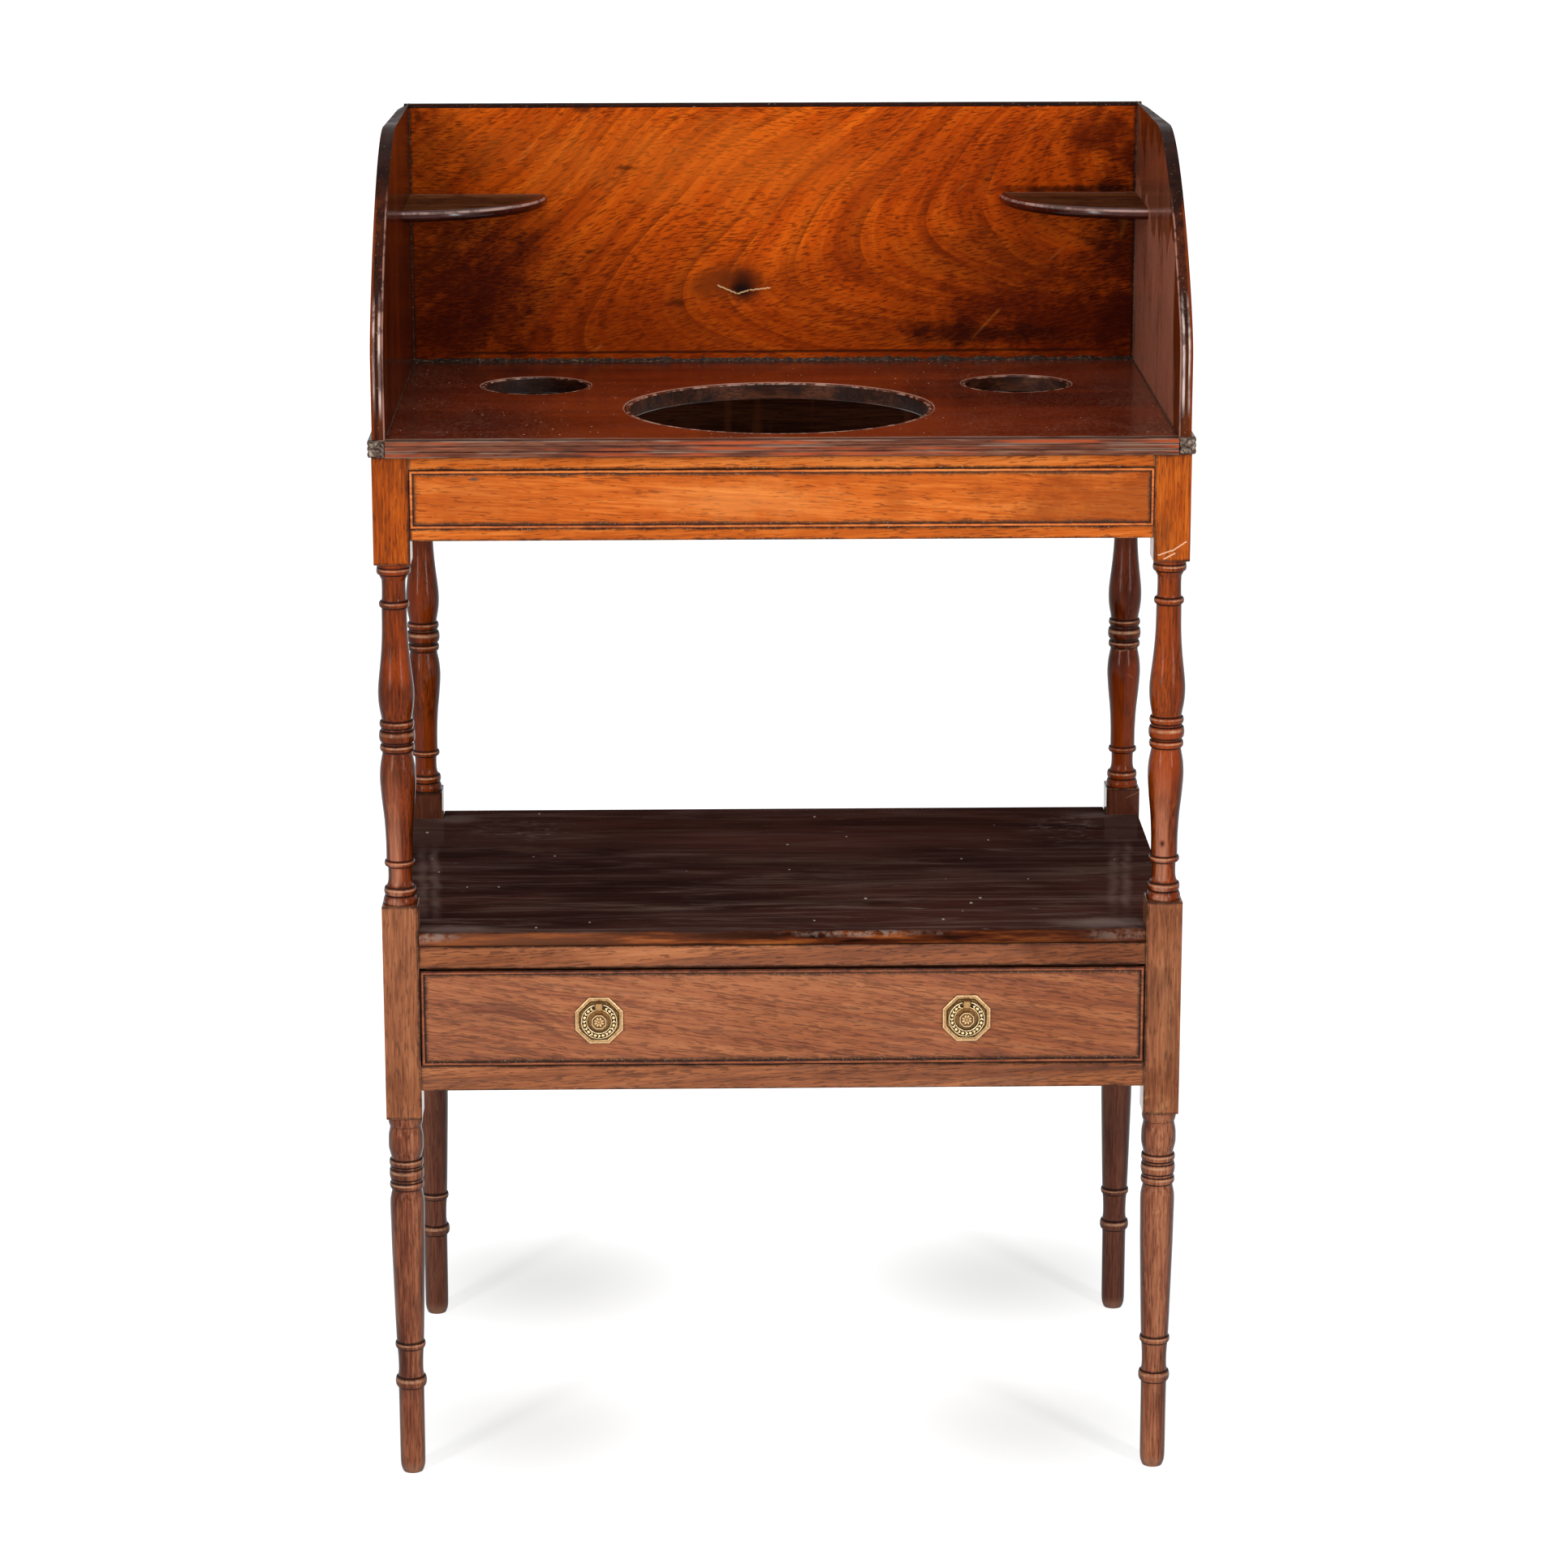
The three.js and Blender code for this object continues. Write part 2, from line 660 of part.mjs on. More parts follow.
// Drawer
const drawerHalfWidth = legInnerX - drawerSideGap;
const drawerLow = drawerOpeningBottom + drawerBottomGap;
const drawerHigh = drawerOpeningTop - drawerTopGap;
const drawerSideLow = drawerOpeningBottom + fitGap;
const drawerSideHigh = drawerHigh - drawerSideDrop;
const drawerFrontBackY = railFaceY + drawerFrontThickness;
const drawerBackY = apronInnerY - drawerRearGap;
const drawerBackFrontY = drawerBackY - drawerBoardThickness;
const drawerBottomLow = drawerLow + drawerBottomRise;
const drawerBottomHigh = drawerBottomLow + drawerBottomThickness;
const drawerBackLow = drawerBottomHigh + fitGap;
const drawerBackHigh = drawerHigh - drawerBackDrop;
const drawerSideInnerX = drawerHalfWidth - drawerBoardThickness;

// Dovetails from the shoulder to the tip, listed from the lowest up.
function tails(shoulderY, tipY, low, high, gap) {
  const pitch = (high - low) / dovetailCount;
  return Array.from({ length: dovetailCount }, (_, i) => {
    const middle = low + pitch * (i + 0.5);
    const neck = pitch * dovetailNeckShare / 2 + gap;
    const tip = pitch * dovetailTipShare / 2 + gap;
    return [
      [shoulderY, middle - neck],
      [tipY, middle - tip],
      [tipY, middle + tip],
      [shoulderY, middle + neck],
    ];
  }).flat();
}

function drawerSideBlank(side, gap) {
  const frontTipY = railFaceY - beadRise + beadDepth + dovetailLap - gap;
  const frontShoulderY = drawerFrontBackY - gap;
  const rearShoulderY = drawerBackFrontY + gap;
  const outline = [
    [frontShoulderY, drawerSideLow - gap],
    ...tails(frontShoulderY, frontTipY, drawerSideLow, drawerSideHigh, gap),
    [frontShoulderY, drawerSideHigh + gap],
    [rearShoulderY, drawerSideHigh + gap],
    ...tails(rearShoulderY, drawerBackY + gap, drawerBackLow, drawerBackHigh, gap).reverse(),
    [rearShoulderY, drawerBackLow - fitGap],
    [drawerBackY, drawerBackLow - fitGap],
    [drawerBackY, drawerSideLow - gap],
  ];
  const [nearX, farX] = side < 0
    ? [-drawerHalfWidth - gap, -drawerSideInnerX + gap]
    : [drawerSideInnerX - gap, drawerHalfWidth + gap];
  return alongX(outline, nearX, farX);
}

function drawerBottomCorners() {
  const halfWidth = drawerSideInnerX + drawerGrooveDepth;
  return [
    [-halfWidth, drawerFrontBackY - drawerGrooveDepth, drawerBottomLow],
    [halfWidth, drawerBackY, drawerBottomHigh],
  ];
}

function drawerSide(side) {
  const [low, high] = drawerBottomCorners();
  const groove = grownSlab(low, [high[0], high[1] + overrun, high[2]]);
  return cut(drawerSideBlank(side, 0), [groove]);
}

function handlePlace(side) {
  return [side * handleOffsetX, railFaceY, (drawerLow + drawerHigh) / 2 - handleDrop];
}

// Round bar along Y between two places, for bolts and their holes.
function barAlongY(radius, from, to) {
  const bar = new THREE.CylinderGeometry(radius, radius, to - from, boltSegments);
  return solid(bar.translate(0, (from + to) / 2, 0));
}

function drawerFront() {
  const blank = beadedPanel(drawerHalfWidth, drawerLow, drawerHigh, railFaceY, drawerFrontThickness);
  const boltHoles = [-1, 1].map((side) => {
    const hole = barAlongY(boltRadius + fitGap, -overrun, drawerFrontThickness + overrun);
    return hole.translate(handlePlace(side));
  });
  return cut(blank, [
    drawerSideBlank(-1, fitGap),
    drawerSideBlank(1, fitGap),
    grownSlab(...drawerBottomCorners()),
    ...boltHoles,
  ]);
}

function drawerBack() {
  const board = slab(
    [-drawerHalfWidth, drawerBackFrontY, drawerBackLow],
    [drawerHalfWidth, drawerBackY, drawerBackHigh],
  );
  return cut(board, [drawerSideBlank(-1, fitGap), drawerSideBlank(1, fitGap)]);
}

// Ring handle, made about the middle of its plate on the drawer face, front towards -Y
const plateFloor = plateThickness - plateRecess;
const ringPlaneY = -plateFloor - ringStandoff;

function handlePlate() {
  const blank = alongY(octagon(plateWidth), -plateThickness, 0);
  const recess = alongY(octagon(plateWidth - 2 * plateRimWidth), -plateThickness - overrun, -plateFloor);
  return cut(blank, [recess, barAlongY(boltRadius + fitGap, -plateThickness - overrun, overrun)]);
}

// Strap bent over the neck of the ring
function handleClip() {
  const low = ringMidRadius - ringNeckRadius - fitGap - clipStrap;
  const high = low + clipHeight;
  const webInner = ringPlaneY - ringNeckRadius - fitGap;
  const outline = [
    [-plateFloor, low],
    [webInner - clipStrap, low],
    [webInner - clipStrap, high],
    [-plateFloor, high],
    [-plateFloor, high - clipStrap],
    [webInner, high - clipStrap],
    [webInner, low + clipStrap],
    [-plateFloor, low + clipStrap],
  ];
  return alongX(outline, -clipWidth / 2, clipWidth / 2);
}

// Flat band ring with a round neck where the clip holds it
function handleRing() {
  const [halfBand, halfThick] = [ringBandWidth / 2, ringBandThickness / 2];
  const section = ringSectionShares.map(([bandShare, thickShare]) => new THREE.Vector2(
    ringMidRadius + bandShare * halfBand,
    thickShare * halfThick,
  ));
  const band = solid(new THREE.LatheGeometry(section, ringSegments));
  const neckHalf = clipWidth / 2 + fitGap;
  const gapCutter = slab(
    [-neckHalf, -ringBandThickness, ringMidRadius - ringBandWidth],
    [neckHalf, ringBandThickness, ringMidRadius + ringBandWidth],
  );
  const neckLength = clipWidth + ringBandWidth;
  const bar = new THREE.CylinderGeometry(ringNeckRadius, ringNeckRadius, neckLength, boltSegments);
  const neck = solid(bar.rotateZ(Math.PI / 2).translate(0, 0, ringMidRadius));
  return joined([cut(band, [gapCutter]), neck]).translate([0, ringPlaneY, 0]);
}

// Eight-sided boss with its bolt through the drawer front
function handleBoss() {
  const corner = 1 / Math.cos(Math.PI / 8) / 2;
  const head = new THREE.CylinderGeometry(bossBaseWidth * corner, bossFaceWidth * corner, bossHeight, 8)
    .rotateY(Math.PI / 8)
    .translate(0, -plateFloor - bossHeight / 2, 0);
  const boltTip = drawerFrontThickness + nutThickness + boltEnd;
  return joined([solid(head), barAlongY(boltRadius, -plateFloor - bossHeight / 2, boltTip)]);
}

function handleNut() {
  const half = nutWidth / 2;
  const blank = slab(
    [-half, drawerFrontThickness, -half],
    [half, drawerFrontThickness + nutThickness, half],
  );
  return cut(blank, [barAlongY(boltRadius + fitGap, 0, drawerFrontThickness + nutThickness + overrun)]);
}

// Finishes
const finishes = {
  galleryWood: { color: 0xa84c17, roughness: 0.38, metalness: 0 },
  topWood: { color: 0x5c2210, roughness: 0.3, metalness: 0 },
  friezeWood: { color: 0xb4561d, roughness: 0.42, metalness: 0 },
  turnedWood: { color: 0x74331a, roughness: 0.34, metalness: 0 },
  undertierWood: { color: 0x2e1712, roughness: 0.36, metalness: 0 },
  drawerWood: { color: 0x8a4628, roughness: 0.46, metalness: 0 },
  liningWood: { color: 0x9c6f45, roughness: 0.72, metalness: 0 },
  brass: { color: 0xb2904c, roughness: 0.34, metalness: 1 },
  iron: { color: 0x3b352f, roughness: 0.6, metalness: 0.8 },
};

const washstand = new THREE.Group();
const drawer = new THREE.Group();
washstand.add(drawer);

function place(group, name, body, finish) {
  const mesh = new THREE.Mesh(toGeometry(body), new THREE.MeshStandardMaterial(finishes[finish]));
  mesh.name = name;
  group.add(mesh);
}

const sides = [['left', -1], ['right', 1]];

// Legs
for (const [name, side] of sides) {
  place(washstand, `leg_front_${name}`, leg(side, 'front'), 'turnedWood');
  place(washstand, `leg_rear_${name}`, leg(side, 'rear'), 'turnedWood');
}

// Rails and aprons
for (const rail of frontRails) {
  place(washstand, rail.name, frontRail(rail), rail.finish);
}
for (const level of apronLevels) {
  place(washstand, `${level.name}_apron_rear`, rearApron(level), level.finish);
  for (const [name, side] of sides) {
    place(washstand, `${level.name}_apron_${name}`, sideApron(side, level), level.finish);
  }
}

// Dummy drawer in the frieze
const friezePanel = [legInnerX, friezePanelBottom, friezePanelTop, railFaceY];
place(washstand, 'dummy_drawer_panel', beadedPanel(...friezePanel, friezePanelThickness), 'friezeWood');
for (const [edge, bead] of Object.entries(beadFrame(...friezePanel))) {
  place(washstand, `dummy_drawer_bead_${edge}`, bead, 'friezeWood');
}

// Top and gallery
place(washstand, 'top_board', topBoard(), 'topWood');
place(washstand, 'edge_moulding_front', frontEdgeStrip(), 'topWood');
place(washstand, 'gallery_back', galleryBack(), 'galleryWood');
for (const [name, side] of sides) {
  place(washstand, `edge_moulding_${name}`, sideEdgeStrip(side), 'topWood');
  place(washstand, `gallery_${name}`, gallerySide(side), 'topWood');
  place(washstand, `corner_shelf_${name}`, cornerShelf(side, 0), 'topWood');
  place(washstand, `gallery_screw_${name}`, galleryScrew(side, 0), 'iron');
  place(washstand, `top_glue_block_${name}`, topGlueBlock(side), 'liningWood');
}

// Undertier and the strips in the drawer case
place(washstand, 'undertier_board', undertier(), 'undertierWood');
const stripInner = legInnerX - runnerReach;
const runnerLow = drawerOpeningBottom - runnerHeight;
const guideHigh = drawerOpeningBottom + guideHeight;
for (const [name, side] of sides) {
  const strip = (piece, innerX, low, high) => place(
    washstand,
    `drawer_${piece}_${name}`,
    caseStrip(side, innerX, low, high),
    'liningWood',
  );
  strip('runner', stripInner, runnerLow, drawerOpeningBottom);
  strip('guide', legInnerX, drawerOpeningBottom, guideHigh);
  strip('kicker', stripInner, drawerOpeningTop, undertierUnderside);
  place(washstand, `drawer_stop_${name}`, drawerStop(side), 'liningWood');
}

// Drawer
place(drawer, 'drawer_front', drawerFront(), 'drawerWood');
place(drawer, 'drawer_back', drawerBack(), 'liningWood');
place(drawer, 'drawer_bottom', slab(...drawerBottomCorners()), 'liningWood');
for (const [name, side] of sides) {
  place(drawer, `drawer_side_${name}`, drawerSide(side), 'liningWood');
}
for (const [edge, bead] of Object.entries(beadFrame(drawerHalfWidth, drawerLow, drawerHigh, railFaceY))) {
  place(drawer, `drawer_bead_${edge}`, bead, 'drawerWood');
}

// Ring handles on the drawer face
for (const [name, side] of sides) {
  const handle = new THREE.Group();
  handle.position.set(...handlePlace(side));
  drawer.add(handle);
  place(handle, `handle_plate_${name}`, handlePlate(), 'brass');
  place(handle, `handle_clip_${name}`, handleClip(), 'brass');
  place(handle, `handle_boss_${name}`, handleBoss(), 'brass');
  place(handle, `handle_nut_${name}`, handleNut(), 'brass');
  place(handle, `handle_ring_${name}`, handleRing(), 'brass');
}

export default washstand;
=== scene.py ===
import math

import bmesh
import bpy
from mathutils import Matrix, Vector, noise


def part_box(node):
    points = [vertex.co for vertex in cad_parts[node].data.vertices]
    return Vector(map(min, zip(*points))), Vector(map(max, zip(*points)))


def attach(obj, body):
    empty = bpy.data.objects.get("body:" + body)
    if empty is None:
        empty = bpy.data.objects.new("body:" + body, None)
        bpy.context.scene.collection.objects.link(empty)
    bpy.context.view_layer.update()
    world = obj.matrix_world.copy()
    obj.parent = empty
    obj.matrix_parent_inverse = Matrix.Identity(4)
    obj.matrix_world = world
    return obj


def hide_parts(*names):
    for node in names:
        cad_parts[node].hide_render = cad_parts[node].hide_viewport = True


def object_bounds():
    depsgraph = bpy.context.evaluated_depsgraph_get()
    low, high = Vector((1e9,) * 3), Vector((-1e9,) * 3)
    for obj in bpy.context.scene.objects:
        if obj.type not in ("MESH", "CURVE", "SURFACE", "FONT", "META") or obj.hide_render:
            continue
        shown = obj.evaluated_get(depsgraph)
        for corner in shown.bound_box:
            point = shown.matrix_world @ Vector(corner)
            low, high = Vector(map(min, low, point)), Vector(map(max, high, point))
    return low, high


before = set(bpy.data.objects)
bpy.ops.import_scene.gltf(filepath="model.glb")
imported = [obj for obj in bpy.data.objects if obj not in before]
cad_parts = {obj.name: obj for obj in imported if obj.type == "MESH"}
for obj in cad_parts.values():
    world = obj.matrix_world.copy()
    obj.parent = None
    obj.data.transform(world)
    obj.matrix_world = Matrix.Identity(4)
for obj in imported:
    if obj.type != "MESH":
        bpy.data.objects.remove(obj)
packed_low, packed_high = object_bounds()
scene = bpy.context.scene
MM = 0.001


# Camera, floor and light

PHOTO_PIXELS = 1932
FOCAL_PIXELS = 5669.4
EYE = Vector((-0.0644, -3.60195, 1.4310))
LOOK_DOWN, LOOK_RIGHT, LOOK_ROLL = 14.2172, 1.0972, -0.0634


def photo_camera():
    """The camera that the photograph was fitted to."""
    down, turn, roll = (math.radians(a) for a in (LOOK_DOWN, LOOK_RIGHT, LOOK_ROLL))
    ahead = Vector((math.cos(down) * math.sin(turn), math.cos(down) * math.cos(turn), -math.sin(down)))
    level = Vector((math.cos(turn), -math.sin(turn), 0))
    upright = level.cross(ahead)
    right = level * math.cos(roll) + upright * math.sin(roll)
    top = upright * math.cos(roll) - level * math.sin(roll)
    data = bpy.data.cameras.new("photo_camera")
    data.sensor_width = 36
    data.lens = data.sensor_width * FOCAL_PIXELS / PHOTO_PIXELS
    data.clip_start, data.clip_end = 0.05, 60
    camera = bpy.data.objects.new("photo_camera", data)
    camera.matrix_world = Matrix([(right[i], top[i], -ahead[i], EYE[i]) for i in range(3)] + [(0, 0, 0, 1)])
    scene.collection.objects.link(camera)
    scene.camera = camera


class Field:
    """A value in a node tree. Each sum with it adds a node to the tree."""

    def __init__(self, wiring, socket):
        self.wiring, self.socket = wiring, socket

    def __add__(self, other):
        return self.wiring.maths("ADD", self, other)

    def __sub__(self, other):
        return self.wiring.maths("SUBTRACT", self, other)

    def __rsub__(self, other):
        return self.wiring.maths("SUBTRACT", other, self)

    def __mul__(self, other):
        return self.wiring.maths("MULTIPLY", self, other)

    def __truediv__(self, other):
        return self.wiring.maths("DIVIDE", self, other)

    def __pow__(self, other):
        return self.wiring.maths("POWER", self, other)

    def __abs__(self):
        return self.wiring.maths("ABSOLUTE", self)


class Wiring:
    """Adds and links the nodes of one tree."""

    def __init__(self, tree):
        self.tree = tree

    def feed(self, socket, value):
        """Links a field to a socket, or sets the socket's value."""
        if isinstance(value, Field):
            self.tree.links.new(value.socket, socket)
        else:
            socket.default_value = value

    def node(self, kind, values=None, **settings):
        made = self.tree.nodes.new(kind)
        for name, value in settings.items():
            setattr(made, name, value)
        for name, value in (values or {}).items():
            self.feed(made.inputs[name], value)
        return made

    def outs(self, kind, values=None, **settings):
        """The outputs of a new node by their names."""
        return {socket.name: Field(self, socket) for socket in self.node(kind, values, **settings).outputs}

    def out(self, kind, values=None, label=0, **settings):
        """One output of a new node."""
        return Field(self, self.node(kind, values, **settings).outputs[label])

    def maths(self, operation, *values):
        return self.out("ShaderNodeMath", dict(enumerate(values)), operation=operation)

    def vector(self, operation, *values):
        label = "Value" if operation in ("LENGTH", "DOT_PRODUCT") else "Vector"
        return self.out("ShaderNodeVectorMath", dict(enumerate(values)), label, operation=operation)

    def mixed(self, share, first, second, how="MIX"):
        values = {0: share, 6: tone(first), 7: tone(second)}
        return self.out("ShaderNodeMix", values, 2, data_type="RGBA", blend_type=how)

    def ranged(self, value, low, high, out_low=0.0, out_high=1.0):
        """The value's place between low and high, smoothed. low may be the greater of the two."""
        values = dict(enumerate((value, low, high, out_low, out_high)))
        return self.out("ShaderNodeMapRange", values, interpolation_type="SMOOTHSTEP")

    def above(self, value, level):
        """1 above a level and 0 below it."""
        return self.ranged(value, level - 0.1 * MM, level + 0.1 * MM)

    def below(self, value, level, least=0.0):
        return self.ranged(value, level + 0.1 * MM, level - 0.1 * MM, least, 1.0)

    def stirred(self, value, place, scale, detail, rough, reach):
        """The value, shifted unevenly by up to half the reach."""
        return value + (self.noise(place, scale, detail, rough) - 0.5) * reach

    def noise(self, place, scale, detail=2.0, rough=0.5, swirl=0.0):
        values = {"Vector": place, "Scale": scale, "Detail": detail, "Roughness": rough, "Distortion": swirl}
        return self.out("ShaderNodeTexNoise", values, "Fac")

    def laid(self, place, shift=(0, 0, 0), turn=(0, 0, 0), scale=(1, 1, 1)):
        """The place scaled, turned (degrees) and shifted."""
        turn = tuple(math.radians(a) for a in turn)
        values = {"Vector": place, "Location": shift, "Rotation": turn, "Scale": scale}
        return self.out("ShaderNodeMapping", values)

    def parts(self, vector):
        return list(self.outs("ShaderNodeSeparateXYZ", {"Vector": vector}).values())

    def joined(self, x, y, z):
        return self.out("ShaderNodeCombineXYZ", {"X": x, "Y": y, "Z": z})

    def ramp(self, value, stops):
        """Colours between stops, each (place, colour)."""
        made = self.node("ShaderNodeValToRGB", {"Fac": value})
        bar = made.color_ramp.elements
        while len(bar) < len(stops):
            bar.new(0.5)
        for element, (place, colour) in zip(bar, stops):
            element.position, element.color = place, tone(colour)
        return Field(self, made.outputs["Color"])


def tone(colour):
    """Linear colour of a six-figure screen colour. A field stays as it is."""
    if not isinstance(colour, str):
        return colour
    shares = [int(colour[i:i + 2], 16) / 255 for i in (0, 2, 4)]
    return (*[s / 12.92 if s <= 0.04045 else ((s + 0.055) / 1.055) ** 2.4 for s in shares], 1)


FLOOR_REACH = 20.0
WORLD_LIGHT = 0.36
FLOOR_SHADE_SHARE = 0.45
FLOOR_GLOW_NEAR, FLOOR_GLOW_FAR = 0.6, 1.0  # the floor's own glow in a foot's shadow and away from it
FOOT_SHADOW_REACH = 0.24  # how far from its middle a foot's shadow still shows (m)
FOOT_SHADOW_SHIFT = (0.09, 0.07)  # from the foot to the middle of its shadow, inward and back (m)
WHITE = (1, 1, 1, 1)
LAMP_AIM = Vector((0, 0, 0.6))
LAMPS = {  # place (m), width and height (m), strength (W)
    "strip_left": ((-1.8, -2.35, 1.35), (0.4, 1.9), 37),
    "strip_right": ((1.8, -2.35, 1.35), (0.4, 1.9), 37),
    "lamp_above": ((0.0, -1.2, 2.9), (1.2, 1.2), 14),
}


def seen_share(w):
    """1 for rays that should see the white background."""
    path = w.outs("ShaderNodeLightPath")
    seen = w.maths("MAXIMUM", path["Is Camera Ray"], path["Is Glossy Ray"])
    return w.maths("MAXIMUM", seen, path["Is Transmission Ray"])


def cleared(thing):
    """The wiring of a world or material whose tree is emptied."""
    thing.use_nodes = True
    thing.node_tree.nodes.clear()
    return Wiring(thing.node_tree)


def studio_world():
    """Soft white light, and pure white where the background is seen."""
    world = bpy.data.worlds.new("studio")
    w = cleared(world)
    lit = w.out("ShaderNodeBackground", {"Color": WHITE, "Strength": WORLD_LIGHT})
    white = w.out("ShaderNodeBackground", {"Color": WHITE, "Strength": 1.0})
    both = w.out("ShaderNodeMixShader", {0: seen_share(w), 1: lit, 2: white})
    w.node("ShaderNodeOutputWorld", {"Surface": both})
    scene.world = world


def floor_finish():
    """White where it is seen, but for a soft shadow round each foot, and pale grey to all other rays."""
    material = bpy.data.materials.new("studio_floor")
    w = cleared(material)
    shadowed = w.out("ShaderNodeBsdfDiffuse", {"Color": (FLOOR_SHADE_SHARE,) * 3 + (1,)})
    place = w.out("ShaderNodeTexCoord", label="Object")
    away = FLOOR_REACH
    for end in ("front", "rear"):
        for side in ("left", "right"):
            low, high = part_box(f"leg_{end}_{side}")
            inward = FOOT_SHADOW_SHIFT[0] if side == "left" else -FOOT_SHADOW_SHIFT[0]
            middle = ((low.x + high.x) / 2 + inward, (low.y + high.y) / 2 + FOOT_SHADOW_SHIFT[1], low.z)
            away = w.maths("MINIMUM", away, w.vector("LENGTH", w.vector("SUBTRACT", place, middle)))
    strength = w.ranged(away, 0.0, FOOT_SHADOW_REACH, FLOOR_GLOW_NEAR, FLOOR_GLOW_FAR)
    glow = w.out("ShaderNodeEmission", {"Color": WHITE, "Strength": strength})
    seen = w.out("ShaderNodeAddShader", {0: shadowed, 1: glow})
    pale = w.out("ShaderNodeBsdfDiffuse", {"Color": (0.7, 0.7, 0.7, 1)})
    both = w.out("ShaderNodeMixShader", {0: seen_share(w), 1: pale, 2: seen})
    w.node("ShaderNodeOutputMaterial", {"Surface": both})
    return material


def studio():
    """White world, white floor with foot shadows, and three lamps."""
    studio_world()
    mesh = bpy.data.meshes.new("studio_floor")
    reach, under = FLOOR_REACH, packed_low.z
    corners = [(-reach, -reach, under), (reach, -reach, under), (reach, reach, under), (-reach, reach, under)]
    mesh.from_pydata(corners, [], [(0, 1, 2, 3)])
    mesh.materials.append(floor_finish())
    floor = bpy.data.objects.new("studio_floor", mesh)
    scene.collection.objects.link(floor)
    for name, (place, size, strength) in LAMPS.items():
        data = bpy.data.lights.new(name, "AREA")
        data.shape, data.energy = "RECTANGLE", strength
        data.size, data.size_y = size
        lamp = bpy.data.objects.new(name, data)
        lamp.location = place
        lamp.rotation_euler = (LAMP_AIM - lamp.location).to_track_quat("-Z", "Y").to_euler()
        scene.collection.objects.link(lamp)
    scene.view_settings.view_transform = "Standard"


# Shared shader groups

def shader_group(name, given, results):
    tree = bpy.data.node_groups.new(name, "ShaderNodeTree")
    for label, kind, value in given:
        socket = tree.interface.new_socket(label, in_out="INPUT", socket_type="NodeSocket" + kind)
        if value is not None:
            socket.default_value = value
    for label in results:
        tree.interface.new_socket(label, in_out="OUTPUT", socket_type="NodeSocketFloat")
    w = Wiring(tree)
    return w, w.outs("NodeGroupInput"), w.node("NodeGroupOutput").inputs, tree


def mahogany_grain():
    """Figure, fibre and open pores of mahogany with its grain along X."""
    w, given, result, tree = shader_group(
        "mahogany_grain",
        [("Place", "Vector", None), ("Streaks", "Float", 60.0), ("Pore Share", "Float", 0.4)],
        ["Figure", "Fibre", "Pores", "Height"])
    place, streaks = given["Place"], given["Streaks"]
    streak_scale = w.joined(2.4, streaks, streaks)
    band_scale = w.vector("MULTIPLY", streak_scale, (0.4, 0.28, 0.28))
    streak = w.noise(w.vector("MULTIPLY", place, streak_scale), 1, 3, 0.55, 0.5)
    band = w.noise(w.vector("MULTIPLY", place, band_scale), 1, 2, 0.5, 0.9)
    fibre = w.noise(w.laid(place, scale=(34, 640, 640)), 1, 2, 0.6)
    dashes = w.noise(w.laid(place, scale=(100, 880, 880)), 1, 1, 0.5)
    crowd = w.noise(w.laid(place, scale=(9, 70, 70)), 1, 2, 0.5)
    limit = 0.95 - given["Pore Share"] * 0.5 - crowd * 0.28
    pores = w.ranged(dashes, limit, limit + 0.07)
    both = streak * 0.55 + band * 0.45
    w.feed(result["Figure"], w.ranged(both, 0.33, 0.67))
    w.feed(result["Fibre"], w.ranged(fibre, 0.28, 0.72))
    w.feed(result["Pores"], pores)
    w.feed(result["Height"], fibre * 0.35 - pores * 0.6)
    return tree


def edge_dirt():
    """Dirt against the borders of a board's faces, and rubbed arrises. Reads the board's own corners."""
    w, given, result, tree = shader_group(
        "edge_dirt", [("Width", "Float", 0.003)], ["Dirt", "Wear"])
    where = w.outs("ShaderNodeTexCoord")
    low = w.out("ShaderNodeAttribute", attribute_name="low", label="Vector")
    high = w.out("ShaderNodeAttribute", attribute_name="high", label="Vector")
    from_low = w.vector("SUBTRACT", where["Object"], low)
    from_high = w.vector("SUBTRACT", high, where["Object"])
    inside = w.vector("MINIMUM", from_low, from_high)
    steep = w.parts(w.vector("ABSOLUTE", where["Normal"]))
    flat = w.joined(*[w.maths("GREATER_THAN", steep[i], 0.96) for i in range(3)])
    reach = w.parts(w.vector("ADD", inside, flat))
    distance = w.maths("MINIMUM", w.maths("MINIMUM", reach[0], reach[1]), reach[2])
    coarse = w.noise(where["Object"], 55, 3, 0.6)
    fine = w.noise(where["Object"], 420, 2, 0.6)
    ragged = coarse * 1.3 + fine * 0.7
    push = (ragged - 1.0) * given["Width"]
    w.feed(result["Dirt"], w.ranged(distance + push, 0.0, given["Width"], 1.0, 0.0))
    rubbed = w.ranged(distance, 0.0002, 0.0011, 1.0, 0.0)
    w.feed(result["Wear"], rubbed * w.ranged(coarse, 0.4, 0.62))
    return tree


def dust_specks():
    """Scattered specks of dust and wax."""
    w, given, result, tree = shader_group(
        "dust_specks", [("Place", "Vector", None), ("Count", "Float", 260.0), ("Share", "Float", 0.3)],
        ["Specks"])
    cells = w.outs("ShaderNodeTexVoronoi", {"Vector": given["Place"], "Scale": given["Count"]})
    lots = w.parts(cells["Color"])
    size = lots[1] * 0.2
    spot = w.ranged(cells["Distance"], size * 0.5, size, 1.0, 0.0)
    w.feed(result["Specks"], spot * w.maths("LESS_THAN", lots[0], given["Share"]))
    return tree


